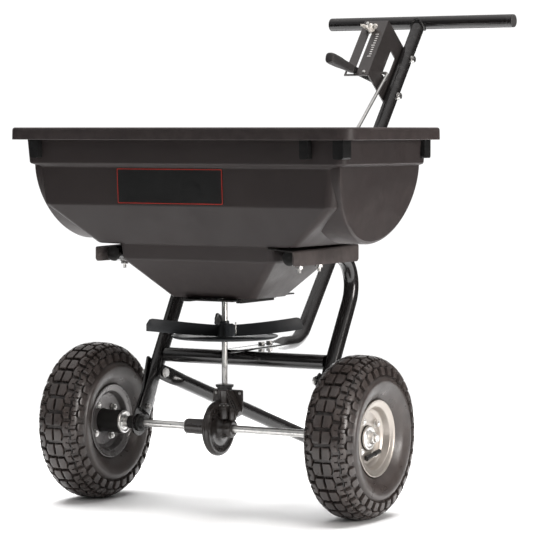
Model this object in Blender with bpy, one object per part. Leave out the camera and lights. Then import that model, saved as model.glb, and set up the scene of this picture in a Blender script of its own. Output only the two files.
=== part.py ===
"""Push broadcast spreader: a wheeled plastic hopper with a gear-driven spreading disc.

Machine axes while modelling: the ground under the vertical shaft is (0, 0, 0), +X runs along
the axle, +Y runs back to the handle and +Z is up. The root empty then moves everything along
Y, so that the world origin is the bottom centre of the whole machine. Lengths are in metres.
"""

from math import atan2, ceil, cos, hypot, pi, radians, sin, tan

import bmesh
import bpy
from mathutils import Matrix, Vector

# --- Driving dimensions ---------------------------------------------------------------------
GAP = 0.0003                 # clearance kept between touching pieces
TUBE_R = 0.0125              # frame tubing, 25 mm outside diameter
TUBE_WALL = 0.0014
HANDLE_R = 0.0111            # handle tubing, 22 mm outside diameter

WHEEL_R = 0.1335             # 10.5 in pneumatic tyre
WHEEL_X = 0.2565             # half the wheel track
AXLE_R = 0.00635
AXLE_END_X = 0.289
SHAFT_R = 0.0048
SHAFT_TOP = 0.398

RIM_HALF_X, RIM_FRONT, RIM_BACK = 0.326, -0.165, 0.165
RIM_TOP, RIM_BOTTOM = 0.635, 0.6148
WALL = 0.004                 # hopper wall
FUNNEL_BOTTOM = 0.3535

LEG_X = 0.169
LEG_TOP = 0.421              # axis height of the legs' level part under the hopper
LEG_FRONT = -0.100
LEG_LEAN = radians(30.5)     # lean of the sloping part, back from vertical
LEG_BEND_R = 0.054
LEG_FOOT_YZ = (0.0102, 0.1520)
LEG_STEP_IN = 0.0028         # how far the flattened foot stands inboard of the round tube
CROSS_TUBE_YZ = (0.0665, 0.2455)
STAND_BOLT_YZ = (0.0485, 0.2160)
STAND_END_X, STAND_FOOT_Y, STAND_FOOT_X = 0.1532, 0.560, 0.040

HANDLE_Y, HANDLE_Z, HANDLE_HALF = 0.7136, 0.8344, 0.1965
STEM_LEAN = atan2(0.4316, 0.5344)
PLATE_TIP_Y, PLATE_Z = 0.009, 0.2616

IMPELLER_Z, DISC_R, BLADE_TIP_R = 0.2865, 0.089, 0.131
BLADES = 4

GEAR_TEETH, PINION_TEETH = 32, 8
GEAR_R, PINION_R = 0.0360, 0.0090
TOOTH_IN, TOOTH_OUT = 0.0320, 0.0400   # ends of the gear teeth, measured from the axle

LEVER_X = -0.040
BRACKET_BOLTS = (0.092, 0.181)   # along the stem from the handle bar
BRACKET_X = -0.0139              # outer face of the control bracket's side plate
LEVER_PIVOT = (0.148, 0.004)     # along the stem from the handle bar, and forward of its axis
ROD_PIN = (0.155, 0.035)
ROD_R = 0.0031
GATE_EYE_Y, GATE_TOP = 0.161, 0.3515

ORIGIN_Y = (RIM_FRONT + HANDLE_Y + HANDLE_R) / 2


# --- Helpers ----------------------------------------------------------------------------------
def clear_scene():
    for item in list(bpy.data.objects):
        bpy.data.objects.remove(item, do_unlink=True)


def material(name, colour, roughness, metallic=0.0):
    made = bpy.data.materials.new(name)
    made.use_nodes = True
    shader = made.node_tree.nodes["Principled BSDF"]
    shader.inputs["Base Color"].default_value = (*colour, 1.0)
    shader.inputs["Roughness"].default_value = roughness
    shader.inputs["Metallic"].default_value = metallic
    return made


def empty(name, location, parent=None, rotation=(0.0, 0.0, 0.0)):
    made = bpy.data.objects.new(name, None)
    bpy.context.collection.objects.link(made)
    made.parent = parent
    made.location = location
    made.rotation_euler = rotation
    return made


def solid(name, bm, look, parent, location=(0.0, 0.0, 0.0), smooth=True):
    """Turns a bmesh into a named object, with its faces pointing out."""
    bmesh.ops.recalc_face_normals(bm, faces=bm.faces)
    mesh = bpy.data.meshes.new(name)
    bm.to_mesh(mesh)
    bm.free()
    mesh.materials.append(look)
    if smooth:
        mesh.shade_smooth()
        mesh.set_sharp_from_angle(angle=radians(35))
    made = bpy.data.objects.new(name, mesh)
    bpy.context.collection.objects.link(made)
    made.parent = parent
    made.location = location
    return made


def combine(target, operation, bm, parent, location=(0.0, 0.0, 0.0)):
    """Adds a Boolean to target. The helper solid stays hidden beside it."""
    name = f"{target.name}_{operation.lower()}_{len(target.modifiers)}"
    helper = solid(name, bm, target.data.materials[0], parent, location, smooth=False)
    helper.hide_render = True
    helper.display_type = "WIRE"
    modifier = target.modifiers.new(name, "BOOLEAN")
    modifier.operation = operation
    modifier.solver = "EXACT"
    modifier.object = helper


def box(low, high):
    bm = bmesh.new()
    size = [b - a for a, b in zip(low, high)]
    centre = [(a + b) / 2 for a, b in zip(low, high)]
    bmesh.ops.create_cube(bm, size=1.0)
    bmesh.ops.scale(bm, vec=size, verts=bm.verts)
    bmesh.ops.translate(bm, vec=centre, verts=bm.verts)
    return bm


def loft(rings, closed=False):
    """A solid through rings of equally many points: capped at both ends, or closed on itself."""
    bm = bmesh.new()
    rows = [[bm.verts.new(point) for point in ring] for ring in rings]
    count = len(rows[0])
    pairs = list(zip(rows, rows[1:]))
    if closed:
        pairs.append((rows[-1], rows[0]))
    for first, second in pairs:
        for i in range(count):
            j = (i + 1) % count
            bm.faces.new((first[i], first[j], second[j], second[i]))
    if not closed:
        bm.faces.new(rows[0])
        bm.faces.new(rows[-1])
    return bm


def rod(start, end, radius, sides=16, end_radius=None):
    """A round bar between two points, or a cone when end_radius is given."""
    start, end = Vector(start), Vector(end)
    along = end - start
    bm = bmesh.new()
    turn = along.to_track_quat("Z", "Y").to_matrix().to_4x4()
    bmesh.ops.create_cone(
        bm, cap_ends=True, segments=sides, depth=along.length,
        radius1=radius, radius2=radius if end_radius is None else end_radius,
        matrix=Matrix.Translation((start + end) / 2) @ turn,
    )
    return bm


def join(*parts):
    """One bmesh of several that don't touch each other, for one cut."""
    whole = bmesh.new()
    for part in parts:
        mesh = bpy.data.meshes.new("joined")
        part.to_mesh(mesh)
        part.free()
        whole.from_mesh(mesh)
        bpy.data.meshes.remove(mesh)
    return whole


def turned(profile, sides, axis="X"):
    """A ring turned about an axis from a closed outline of (along, radius) points."""
    rings = []
    for k in range(sides):
        angle = 2 * pi * k / sides - pi / 2
        c, s = cos(angle), sin(angle)
        if axis == "X":
            rings.append([(a, r * c, r * s) for a, r in profile])
        else:
            rings.append([(r * c, r * s, a) for a, r in profile])
    return loft(rings, closed=True)


def mirrored(profile, side):
    return [(side * a, r) for a, r in profile]


def rounded_rectangle(half_x, front, back, z, corner, steps=3):
    points = []
    corners = ((half_x, back, 0), (-half_x, back, 90), (-half_x, front, 180), (half_x, front, 270))
    for x, y, start in corners:
        centre_x = x - corner if x > 0 else x + corner
        centre_y = y - corner if y == back else y + corner
        for k in range(steps + 1):
            angle = radians(start + 90 * k / steps)
            points.append((centre_x + corner * cos(angle), centre_y + corner * sin(angle), z))
    return points


def filleted(corners, radii, step=radians(20)):
    """The points of a line through corners, each inner corner rounded to its own radius."""
    corners = [Vector(corner) for corner in corners]
    points = [corners[0]]
    for before, at, after, radius in zip(corners, corners[1:], corners[2:], radii):
        incoming = (at - before).normalized()
        outgoing = (after - at).normalized()
        angle = incoming.angle(outgoing)
        start = at - incoming * radius * tan(angle / 2)
        inward = (outgoing - incoming * incoming.dot(outgoing)).normalized()
        count = max(2, ceil(angle / step))
        for k in range(count + 1):
            a = angle * k / count
            points.append(start + incoming * radius * sin(a) + inward * radius * (1 - cos(a)))
    points.append(corners[-1])
    return points


def with_stations(points, stations):
    """The same line with further points at these distances from its end."""
    result = [points[-1]]
    travelled = 0.0
    wanted = sorted(stations)
    for far, near in zip(points[-2::-1], points[:0:-1]):
        length = (far - near).length
        while wanted and travelled < wanted[0] < travelled + length:
            result.append(near.lerp(far, (wanted.pop(0) - travelled) / length))
        travelled += length
        result.append(far)
    return result[::-1]


def swept(points, shapes, side, sides=12):
    """Rings along a line. shapes gives each point's half size along side, and across it."""
    rings = []
    for i, (point, (half_side, half_across)) in enumerate(zip(points, shapes)):
        ahead = points[min(i + 1, len(points) - 1)] - points[max(i - 1, 0)]
        ahead.normalize()
        sideways = (side - ahead * side.dot(ahead)).normalized()
        across = ahead.cross(sideways)
        ring = []
        for k in range(sides):
            a = 2 * pi * (k + 0.5) / sides
            ring.append(point + sideways * half_side * cos(a) + across * half_across * sin(a))
        rings.append(ring)
    return rings


def hollow_tube(points, shapes, side, wall=TUBE_WALL, sides=12):
    """An open-ended tube: its outer skin, then its inner skin back to the start."""
    outer = swept(points, shapes, side, sides)
    thinner = [(max(a - wall, 0.0004), max(b - wall, 0.0004)) for a, b in shapes]
    inner = swept(points, thinner, side, sides)
    return loft(outer + inner[::-1], closed=True)


def bolt(name, start, end, radius, head, look, parent, nut=True):
    """A hexagon bolt along a line, its head at start and its nut near end."""
    start, end = Vector(start), Vector(end)
    along = (end - start).normalized()
    made = solid(name, rod(start - along * 0.002, end, radius, 8), look, parent, smooth=False)
    combine(made, "UNION", rod(start - along * 0.004, start, head, 6), parent)
    if nut:
        combine(made, "UNION", rod(end - along * 0.007, end - along * 0.002, head, 6), parent)
    return made


# --- Hopper -----------------------------------------------------------------------------------
def hopper_levels(inset):
    """The hopper's levels from top to bottom: half width, front, back and height of each."""
    t = inset
    return [
        (0.3065 - t, -0.1445 + t, 0.1460 - t, RIM_TOP),
        (0.3025 - t, -0.1410 + t, 0.1455 - t, 0.5755),
        (0.2850 - t, -0.1340 + t, 0.1450 - t, 0.5705),
        (0.2770 - t, -0.1305 + t, 0.1440 - t, 0.5075),
        (0.190 - t, -0.098 + t, 0.115 - t, 0.4430 + t),
        (0.147 - t, -0.096 + t, 0.113 - t, 0.4420 + t),
        (0.146 - t, -0.092 + t, 0.109 - t, 0.4170),
        (0.080 - t, -0.042 + t, 0.072 - t, FUNNEL_BOTTOM + t),
    ]


def hopper_core(inset, corner):
    rings = []
    for level, (half, front, back, z) in enumerate(hopper_levels(inset)):
        if level == 0:
            z = RIM_TOP + 0.005 if inset else RIM_TOP - 0.003
        radius = corner if level < 4 else corner * 0.75
        rings.append(rounded_rectangle(half, front, back, z, radius - inset))
    return rings


def lobe(side, inset):
    """One rounded end of the hopper: half an ellipse, drafted towards its outer face."""
    half_y, depth, centre_z, centre_y = 0.1370 - inset, 0.128 - inset, 0.5745, 0.004
    inner, outer = 0.225 + inset, 0.2925 - inset
    steps = 12
    rings = []
    for x in (inner, outer):
        above = centre_z + 0.02
        ring = [(side * x, centre_y + half_y, above), (side * x, centre_y - half_y, above)]
        for k in range(steps + 1):
            angle = pi + pi * k / steps
            y, drop = centre_y + half_y * cos(angle), depth * abs(sin(angle))
            draft = 0.020 * (drop / depth) ** 1.5 if x == outer else 0.0
            ring.append((side * (x - draft), y, centre_z - drop))
        rings.append(ring)
    return loft(rings)


def hopper(look, root):
    rim = [
        rounded_rectangle(RIM_HALF_X - 0.003, RIM_FRONT + 0.003, RIM_BACK - 0.003, RIM_TOP, 0.022),
        rounded_rectangle(RIM_HALF_X - 0.001, RIM_FRONT + 0.001, RIM_BACK - 0.001, RIM_TOP - 0.003, 0.024),
        rounded_rectangle(RIM_HALF_X, RIM_FRONT, RIM_BACK, RIM_BOTTOM, 0.025),
        rounded_rectangle(RIM_HALF_X - 0.003, RIM_FRONT + 0.003, RIM_BACK - 0.003, RIM_BOTTOM, 0.022),
        rounded_rectangle(RIM_HALF_X - 0.004, RIM_FRONT + 0.004, RIM_BACK - 0.004, RIM_TOP - 0.003, 0.021),
    ]
    made = solid("hopper", loft(rim + hopper_core(0.0, 0.016)), look, root, smooth=False)
    for side in (-1, 1):
        combine(made, "UNION", lobe(side, 0.0), root)
        roof = sorted((side * 0.140, side * 0.1900))
        combine(made, "UNION", box((roof[0], -0.1070, 0.4375), (roof[1], 0.1170, 0.4425)), root)
        wall = sorted((side * 0.1868, side * 0.1899))
        combine(made, "UNION", box((wall[0], -0.1068, 0.4139), (wall[1], 0.1168, 0.4410)), root)
    combine(made, "DIFFERENCE", loft(hopper_core(WALL, 0.016)), root)
    for side in (-1, 1):
        combine(made, "DIFFERENCE", lobe(side, WALL), root)
    low, high = FUNNEL_BOTTOM - 0.01, FUNNEL_BOTTOM + 0.02
    holes = [rod((0, 0, low), (0, 0, high), 0.0080 + GAP, 20)]
    holes += [rod((x, 0.029, low), (x, 0.029, high), 0.012, 16) for x in (-0.034, 0.034)]
    holes += [
        rod((x, y, 0.425), (x, y, 0.460), 0.0035, 10) for x in (-LEG_X, LEG_X) for y in (-0.045, 0.020)
    ]
    combine(made, "DIFFERENCE", join(*holes), root)
    return made


def hopper_bolts(look, root):
    for side, name in ((-1, "left"), (1, "right")):
        for y, place in ((-0.045, "front"), (0.020, "rear")):
            bolt(f"hopper_bolt_{name}_{place}", (side * LEG_X, y, LEG_TOP - TUBE_R - GAP),
                 (side * LEG_X, y, 0.4565), 0.0030, 0.0065, look, root)


def gate(look, root):
    """The shutter plate under the hopper: two outlets, a slot for the shaft and the rod's eye."""
    thick = 0.0025
    made = solid("shutter_gate", box((-0.050, -0.056, GATE_TOP - thick), (0.050, 0.182, GATE_TOP)),
                 look, root, smooth=False)
    low, high = GATE_TOP - 0.01, GATE_TOP + 0.01
    cuts = [
        rod((-0.034, 0.000, low), (-0.034, 0.000, high), 0.012, 16),
        rod((0.034, 0.000, low), (0.034, 0.000, high), 0.012, 16),
        box((-0.0085, -0.040, low), (0.0085, 0.010, high)),
        box((-0.0080, GATE_EYE_Y - 0.009, low), (0.0020, GATE_EYE_Y + 0.009, high)),
    ]
    combine(made, "DIFFERENCE", join(*cuts), root)
    combine(made, "DIFFERENCE", box((-0.060, 0.085, low), (-0.030, 0.200, high)), root)
    combine(made, "DIFFERENCE", box((0.030, 0.085, low), (0.060, 0.200, high)), root)


def gate_tracks(look, root):
    """Two angle strips that carry the gate's edges under the funnel."""
    for side, name in ((-1, "left"), (1, "right")):
        post = sorted((side * 0.0504, side * 0.0560))
        lip = sorted((side * 0.0450, side * 0.0558))
        made = solid(f"gate_track_{name}", box((post[0], -0.038, 0.3463), (post[1], 0.068, 0.3532)),
                     look, root, smooth=False)
        combine(made, "UNION", box((lip[0], -0.0378, 0.3461), (lip[1], 0.0678, 0.3487)), root)


def shaft_bushing(look, root):
    profile = [(0.3535 - 0.0015, SHAFT_R + GAP), (0.3535 - 0.0015, 0.0080), (0.3578, 0.0080),
               (0.3578, 0.0125), (0.3605, 0.0125), (0.3605, SHAFT_R + GAP)]
    solid("shaft_bushing", turned(profile, 16, "Z"), look, root)


# --- Rotor: shaft, agitator, impeller, pinion -------------------------------------------------
def vertical_shaft(look, rotor):
    solid("vertical_shaft", rod((0, 0, 0.1560), (0, 0, SHAFT_TOP), SHAFT_R, 16), look, rotor)


def agitator(look, rotor):
    """A spring-steel clip on the top of the shaft, with two swept arms."""
    collar = [(SHAFT_TOP - 0.020, SHAFT_R + GAP), (SHAFT_TOP - 0.020, 0.0085),
              (SHAFT_TOP - 0.006, 0.0085), (SHAFT_TOP - 0.006, SHAFT_R + GAP)]
    made = solid("agitator", turned(collar, 16, "Z"), look, rotor)
    for turn in (0, pi):
        c, s = cos(turn), sin(turn)
        z = SHAFT_TOP - 0.013
        combine(made, "UNION", rod((0.0072 * c, 0.0072 * s, z), (0.046 * c, 0.046 * s, z - 0.004),
                                   0.0022, 8), rotor)


def impeller(look, rotor):
    """The spreading disc, with long blades that rise and sweep forward past its rim."""
    z = IMPELLER_Z
    profile = [(z, SHAFT_R + GAP), (z, DISC_R - 0.0015), (z + 0.0015, DISC_R), (z + 0.0030, DISC_R),
               (z + 0.0035, DISC_R - 0.001), (z + 0.0035, 0.0120), (z + 0.026, 0.0100),
               (z + 0.026, SHAFT_R + GAP)]
    made = solid("impeller", turned(profile, 32, "Z"), look, rotor)
    stations = 6
    for blade in range(BLADES):
        start = radians(30.3) + 2 * pi * blade / BLADES
        rings = []
        for k in range(stations):
            f = k / (stations - 1)
            r = 0.0095 + (BLADE_TIP_R - 0.0095) * f
            angle = start + radians(8) * f * f
            low = z + 0.0025 + 0.012 * f * f
            high = z + 0.0215 + 0.0115 * f * f - 0.004 * f ** 8
            rise = Vector((-sin(angle), cos(angle), 0)) * 0.0012
            centre = Vector((r * cos(angle), r * sin(angle), 0))
            top, bottom = Vector((0, 0, high)), Vector((0, 0, low))
            rings.append([centre + rise + bottom, centre - rise + bottom,
                          centre - rise + top, centre + rise + top])
        combine(made, "UNION", loft(rings), rotor)


def tooth_heights(low, high, teeth, phase):
    """Angles round a gear with the height at each: four to a tooth, the first gap at phase."""
    pitch = 2 * pi / teeth
    for tooth in range(teeth):
        middle = phase + (tooth + 0.5) * pitch
        for offset, height in ((-0.30, low), (-0.13, high), (0.13, high), (0.30, low)):
            yield middle + offset * pitch, height


def pinion(look, rotor):
    """A straight bevel pinion on the shaft, its cone's apex on the axle."""
    rings = []
    for z in (TOOTH_IN, TOOTH_OUT):
        scale = z / GEAR_R
        points = tooth_heights(PINION_R - 0.0017, PINION_R + 0.0010, PINION_TEETH, pi)
        rings.append([(r * scale * cos(a), r * scale * sin(a), WHEEL_R + z) for a, r in points])
    made = solid("pinion_gear", loft(rings), look, rotor, smooth=False)
    low, high = WHEEL_R + TOOTH_IN - 0.01, WHEEL_R + TOOTH_OUT + 0.01
    combine(made, "UNION", rod((0, 0, WHEEL_R + TOOTH_OUT - 0.002), (0, 0, WHEEL_R + 0.0420), 0.0085, 16), rotor)
    combine(made, "DIFFERENCE", rod((0, 0, low), (0, 0, high + 0.01), SHAFT_R + GAP, 12), rotor)


# --- Gearbox and axle ---------------------------------------------------------------------------
def bevel_gear(look, drive):
    """The bevel gear on the axle: its teeth face +X and reach the pinion at the top."""
    slope = PINION_R / GEAR_R
    samples = list(tooth_heights(-1, 1, GEAR_TEETH, pi / 2 - pi / GEAR_TEETH))
    rings = [[(-0.0085, 0.0130 * cos(a), 0.0130 * sin(a)) for a, _ in samples]]
    for r in (TOOTH_IN, TOOTH_OUT):
        ring = []
        for a, sign in samples:
            x = -slope * r + (0.0010 if sign > 0 else -0.0016) * r / GEAR_R
            ring.append((x, r * cos(a), r * sin(a)))
        rings.append(ring)
    rings.append([(-0.0155, TOOTH_OUT * cos(a), TOOTH_OUT * sin(a)) for a, _ in samples])
    made = solid("bevel_gear", loft(rings), look, drive, smooth=False)
    combine(made, "DIFFERENCE", rod((-0.03, 0, 0), (0.0, 0, 0), AXLE_R + GAP, 20), drive)


def gearbox_left(look, root):
    """The dished half of the gearbox, with the long bearing boss of the axle."""
    bore = AXLE_R + GAP
    profile = [(-0.0720, bore), (-0.0720, 0.0127), (-0.0215, 0.0132), (-0.0205, 0.0380),
               (-0.0165, 0.0440), (-0.0113, 0.0470), (-0.0113, 0.0448), (-0.0160, 0.0415),
               (-0.0182, 0.0360), (-0.0182, bore)]
    solid("gearbox_case_left", turned(profile, 24), look, root, (0, 0, WHEEL_R))


def gearbox_right(look, root):
    """The other half: the cover disc, the short boss, and the pinion's tower with its ear."""
    bore = AXLE_R + GAP
    profile = [(-0.0110, 0.0448), (-0.0110, 0.0470), (-0.0080, 0.0468), (-0.0050, 0.0420),
               (-0.0030, 0.0135), (0.0215, 0.0122), (0.0215, bore), (-0.0055, bore),
               (-0.0072, 0.0400)]
    made = solid("gearbox_case_right", turned(profile, 24), look, root, (0, 0, WHEEL_R))
    combine(made, "UNION", rod((0, 0, 0.1500), (0, 0, 0.1645), 0.0105, 16), root)
    combine(made, "UNION", rod((0, 0, 0.1630), (0, 0, 0.1790), 0.0138, 16), root)
    combine(made, "UNION", box((-0.0145, -0.0118, 0.1775), (0.0290, 0.0118, 0.1985)), root)
    combine(made, "UNION", box((0.0045, -0.0025, 0.1400), (0.0290, 0.0025, 0.1790)), root)
    combine(made, "DIFFERENCE", box((-0.0300, -0.030, 0.1500), (-0.0110, 0.030, 0.1810)), root)
    teeth_space = [(-0.0120, 0.0080), (-0.0120, 0.0425), (-0.0070, 0.0425), (-0.0056, 0.0080)]
    combine(made, "DIFFERENCE", turned(teeth_space, 24), root, (0, 0, WHEEL_R))
    combine(made, "DIFFERENCE", rod((0, 0, 0.1530), (0, 0, 0.1660), SHAFT_R + GAP, 16), root)
    combine(made, "DIFFERENCE", rod((0, 0, 0.1648), (0, 0, 0.1767), 0.0120, 16), root)
    combine(made, "DIFFERENCE", rod((0, 0, 0.1760), (0, 0, 0.2200), 0.0078, 16), root)
    combine(made, "DIFFERENCE", rod((-0.02, 0, WHEEL_R), (0.06, 0, WHEEL_R), bore, 24), root)


def gearbox_collar(look, root):
    z = 0.1985 + GAP
    profile = [(0.1790, SHAFT_R + GAP), (0.1790, 0.0075), (z, 0.0075), (z, 0.0150),
               (0.2070, 0.0145), (0.2070, SHAFT_R + GAP)]
    solid("gearbox_collar", turned(profile, 18, "Z"), look, root)


def axle(look, drive):
    solid("axle", rod((-AXLE_END_X, 0, 0), (AXLE_END_X, 0, 0), AXLE_R, 20), look, drive)


def axle_trim(look, drive):
    """The washer and cotter pin beside the gearbox, and the caps on the axle's ends."""
    profile = [(-0.0740, AXLE_R + GAP), (-0.0740, 0.0125), (-0.0724, 0.0125), (-0.0724, AXLE_R + GAP)]
    solid("axle_washer", turned(profile, 18), look, drive)
    ring = [(-0.0775, AXLE_R + GAP), (-0.0775, 0.0092), (-0.0746, 0.0092), (-0.0746, AXLE_R + GAP)]
    pin = solid("axle_snap_ring", turned(ring, 16), look, drive)
    combine(pin, "UNION", rod((-0.0760, 0.002, -0.0088), (-0.0760, 0.002, -0.0165), 0.0012, 6), drive)
    for side, name in ((-1, "left"), (1, "right")):
        cap = [(0.2745, AXLE_R + GAP), (0.2745, 0.0100), (0.2800, 0.0100), (0.2840, 0.0085),
               (0.2840, AXLE_R + GAP)]
        solid(f"axle_cap_{name}", turned(mirrored(cap, side), 14), look, drive)


def axle_bearings(look, root):
    for side, name in ((-1, "left"), (1, "right")):
        profile = [(0.1585, AXLE_R + GAP), (0.1585, 0.0105), (0.1652, 0.0112), (0.1652, 0.0150),
                   (0.1690, 0.0150), (0.1690, 0.0110), (0.1890, 0.0110), (0.1890, AXLE_R + GAP)]
        solid(f"axle_bearing_{name}", turned(mirrored(profile, side), 18), look, root, (0, 0, WHEEL_R))


# --- Frame ----------------------------------------------------------------------------------------
def leg_direction():
    return Vector((0, -sin(LEG_LEAN), -cos(LEG_LEAN)))


def leg_flatness(left):
    """How flat a leg is at a distance from its lower end: 0 is round and 1 is pressed flat."""
    return max(0.0, min(1.0, (0.095 - left) / 0.060))


def leg_half_thickness(flat):
    return TUBE_R + (0.0031 - TUBE_R) * flat


def frame_legs(look, root):
    """Each leg runs level under the hopper, turns back on itself and slopes down to the axle."""
    foot_y, foot_z = LEG_FOOT_YZ
    bend_y = foot_y + (LEG_TOP - foot_z) * tan(LEG_LEAN)
    for side, name in ((-1, "left"), (1, "right")):
        x = side * LEG_X
        line = filleted([(x, LEG_FRONT, LEG_TOP), (x, bend_y, LEG_TOP), (x, foot_y, foot_z)],
                        [LEG_BEND_R])
        line = with_stations(line, (0.035, 0.055, 0.075, 0.095))
        shapes = []
        for point in line:
            flat = leg_flatness((line[-1] - point).length)
            shapes.append((leg_half_thickness(flat), TUBE_R + 0.0050 * flat))
            point.x = side * (LEG_X - LEG_STEP_IN * flat)
        made = solid(f"frame_leg_{name}", hollow_tube(line, shapes, Vector((1, 0, 0))), look, root)
        y, z = STAND_BOLT_YZ
        cuts = [rod((x - 0.03, y, z), (x + 0.03, y, z), 0.0044, 8)]
        cuts += [rod((x, y, 0.40), (x, y, 0.44), 0.0034, 8) for y in (-0.045, 0.020)]
        combine(made, "DIFFERENCE", join(*cuts), root)


def cross_tube(look, root):
    y, z = CROSS_TUBE_YZ
    reach = LEG_X - TUBE_R - GAP
    line = [Vector((-reach, y, z)), Vector((reach, y, z))]
    solid("cross_tube", hollow_tube(line, [(TUBE_R, TUBE_R)] * 2, Vector((0, 0, 1)), sides=14), look, root)


def axle_brackets(look, root):
    """Plates outside the legs, round at the axle and leaning with the legs' flattened ends."""
    up = -leg_direction()
    across = Vector((0, up.z, -up.y))
    foot = (Vector((0, *LEG_FOOT_YZ)) - Vector((0, 0, WHEEL_R))).dot(up)
    stations = [(-0.0220 * cos(pi * k / 12), 0.0220 * sin(pi * k / 12) + 0.0002) for k in range(7)]
    edges = [(t, 0.0003 - w, 0.0003 + w) for t, w in stations]
    edges += [(0.025, -0.0195, 0.0240), (foot + 0.035, -0.0180, 0.0240), (foot + 0.055, -0.0170, 0.0175),
              (foot + 0.075, -0.0165, 0.0150), (foot + 0.095, -0.0150, 0.0140), (0.1190, -0.0130, 0.0130)]
    for side, name in ((-1, "left"), (1, "right")):
        rings = []
        for t, front, back in edges:
            flat = leg_flatness(t - foot)
            inner = LEG_X - LEG_STEP_IN * flat + leg_half_thickness(flat) + GAP
            ring = []
            for x, edge in ((inner, front), (inner + 0.0032, front), (inner + 0.0032, back), (inner, back)):
                point = up * t + across * edge
                ring.append((side * x, point.y, WHEEL_R + point.z))
            rings.append(ring)
        made = solid(f"axle_bracket_{name}", loft(rings), look, root, smooth=False)
        low, high = side * 0.15, side * 0.20
        y, z = STAND_BOLT_YZ
        cuts = [rod((low, 0, WHEEL_R), (high, 0, WHEEL_R), 0.0110 + GAP, 20), rod((low, y, z), (high, y, z), 0.0044, 8)]
        combine(made, "DIFFERENCE", join(*cuts), root)


def stand_bolts(look, root):
    y, z = STAND_BOLT_YZ
    for side, name in ((-1, "left"), (1, "right")):
        bolt(f"stand_bolt_{name}", (side * (STAND_END_X - 0.0050), y, z), (side * 0.1930, y, z),
             0.0040, 0.0075, look, root)


def rear_stand(look, root):
    """One bent tube: two flattened ends bolted inside the legs, and a narrow foot behind."""
    y, z = STAND_BOLT_YZ
    foot_z = TUBE_R
    ends = [Vector((side * STAND_END_X, y, z)) for side in (-1, 1)]
    feet = [Vector((side * STAND_FOOT_X, STAND_FOOT_Y, foot_z)) for side in (-1, 1)]
    away = (ends[0] - feet[0]).normalized()
    tips = [ends[0] + away * 0.010, ends[1] + Vector((-away.x, away.y, away.z)) * 0.010]
    half = filleted([(0, STAND_FOOT_Y, foot_z), feet[0], tips[0]], [0.036])
    half = with_stations(half, (0.028, 0.056))
    line = [Vector((-p.x, p.y, p.z)) for p in half[:0:-1]] + half
    line = [Vector(p) for p in line]
    shapes = []
    for point in line:
        left = min((point - tip).length for tip in tips)
        flat = max(0.0, min(1.0, (0.056 - left) / 0.028))
        shapes.append((TUBE_R + 0.0050 * flat, TUBE_R + (0.0029 - TUBE_R) * flat))
    rings_side = Vector((0, 0.4, 1.0))
    made = solid("rear_stand", hollow_tube(line, shapes, rings_side), look, root)
    cuts = join(*[rod((side * 0.13, y, z), (side * 0.17, y, z), 0.0044, 10) for side in (-1, 1)])
    combine(made, "DIFFERENCE", cuts, root)


def stem_axis():
    return Vector((0, -sin(STEM_LEAN), -cos(STEM_LEAN)))


def handle_stem(look, root):
    """The stem slopes down from the bar, bends forward and ends as a plate on the cross tube."""
    top = Vector((0, HANDLE_Y, HANDLE_Z))
    down = stem_axis()
    bend = top + down * ((HANDLE_Z - PLATE_Z) / cos(STEM_LEAN))
    start = top + down * (HANDLE_R + GAP + 0.0002)
    line = filleted([start, bend, (0, PLATE_TIP_Y, PLATE_Z)], [0.060])
    line = with_stations(line, (0.004, 0.014, 0.147, 0.165, 0.192))
    shapes = []
    for point in line:
        left = point.y - PLATE_TIP_Y
        flat = max(0.0, min(1.0, (0.192 - left) / 0.045))
        thick = HANDLE_R + (0.0032 - HANDLE_R) * flat
        wide = HANDLE_R + 0.0080 * flat
        if left < 0.020:
            wide *= 0.60 + 0.40 * left / 0.020
        shapes.append((wide, thick))
    made = solid("handle_stem", hollow_tube(line, shapes, Vector((1, 0, 0))), look, root)
    cuts = [rod((0, y, 0.24), (0, y, 0.28), r, 12) for y, r in ((0.121, 0.0058), (0.148, 0.0034))]
    holes = join(*cuts)
    combine(made, "DIFFERENCE", holes, root)
    for distance in BRACKET_BOLTS:
        at = top + down * distance
        combine(made, "DIFFERENCE", rod(at - Vector((0.02, 0, 0)), at + Vector((0.02, 0, 0)), 0.0035, 10), root)


def stem_bolt(look, root):
    bolt("stem_bolt", (0, 0.148, PLATE_Z + 0.0036 + GAP), (0, 0.148, PLATE_Z - 0.0130), 0.0030, 0.0060,
         look, root, nut=False)


def handle_bar(look, root):
    line = [Vector((-HANDLE_HALF, HANDLE_Y, HANDLE_Z)), Vector((HANDLE_HALF, HANDLE_Y, HANDLE_Z))]
    solid("handle_bar", hollow_tube(line, [(HANDLE_R, HANDLE_R)] * 2, Vector((0, 0, 1)), sides=14), look, root)


# --- Wheels ---------------------------------------------------------------------------------------
def tyre(name, look, parent):
    """A hollow knobbly tyre, open between its beads. x = 0 is the wheel's centre plane."""
    half_outer = [(0.0238, 0.0516), (0.0284, 0.0540), (0.0290, 0.0635), (0.0405, 0.0790),
                  (0.0440, 0.0960), (0.0410, 0.1130), (0.0330, 0.1250), (0.0200, 0.1320),
                  (0.0100, WHEEL_R)]
    half_inner = [(0.0180, 0.1230), (0.0340, 0.1100), (0.0375, 0.0950), (0.0340, 0.0800),
                  (0.0238, 0.0640)]
    profile = half_outer + [(-x, r) for x, r in half_outer[::-1]]
    profile += [(-x, r) for x, r in half_inner[::-1]] + half_inner
    solid(name, turned(profile, 28), look, parent)


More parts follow.
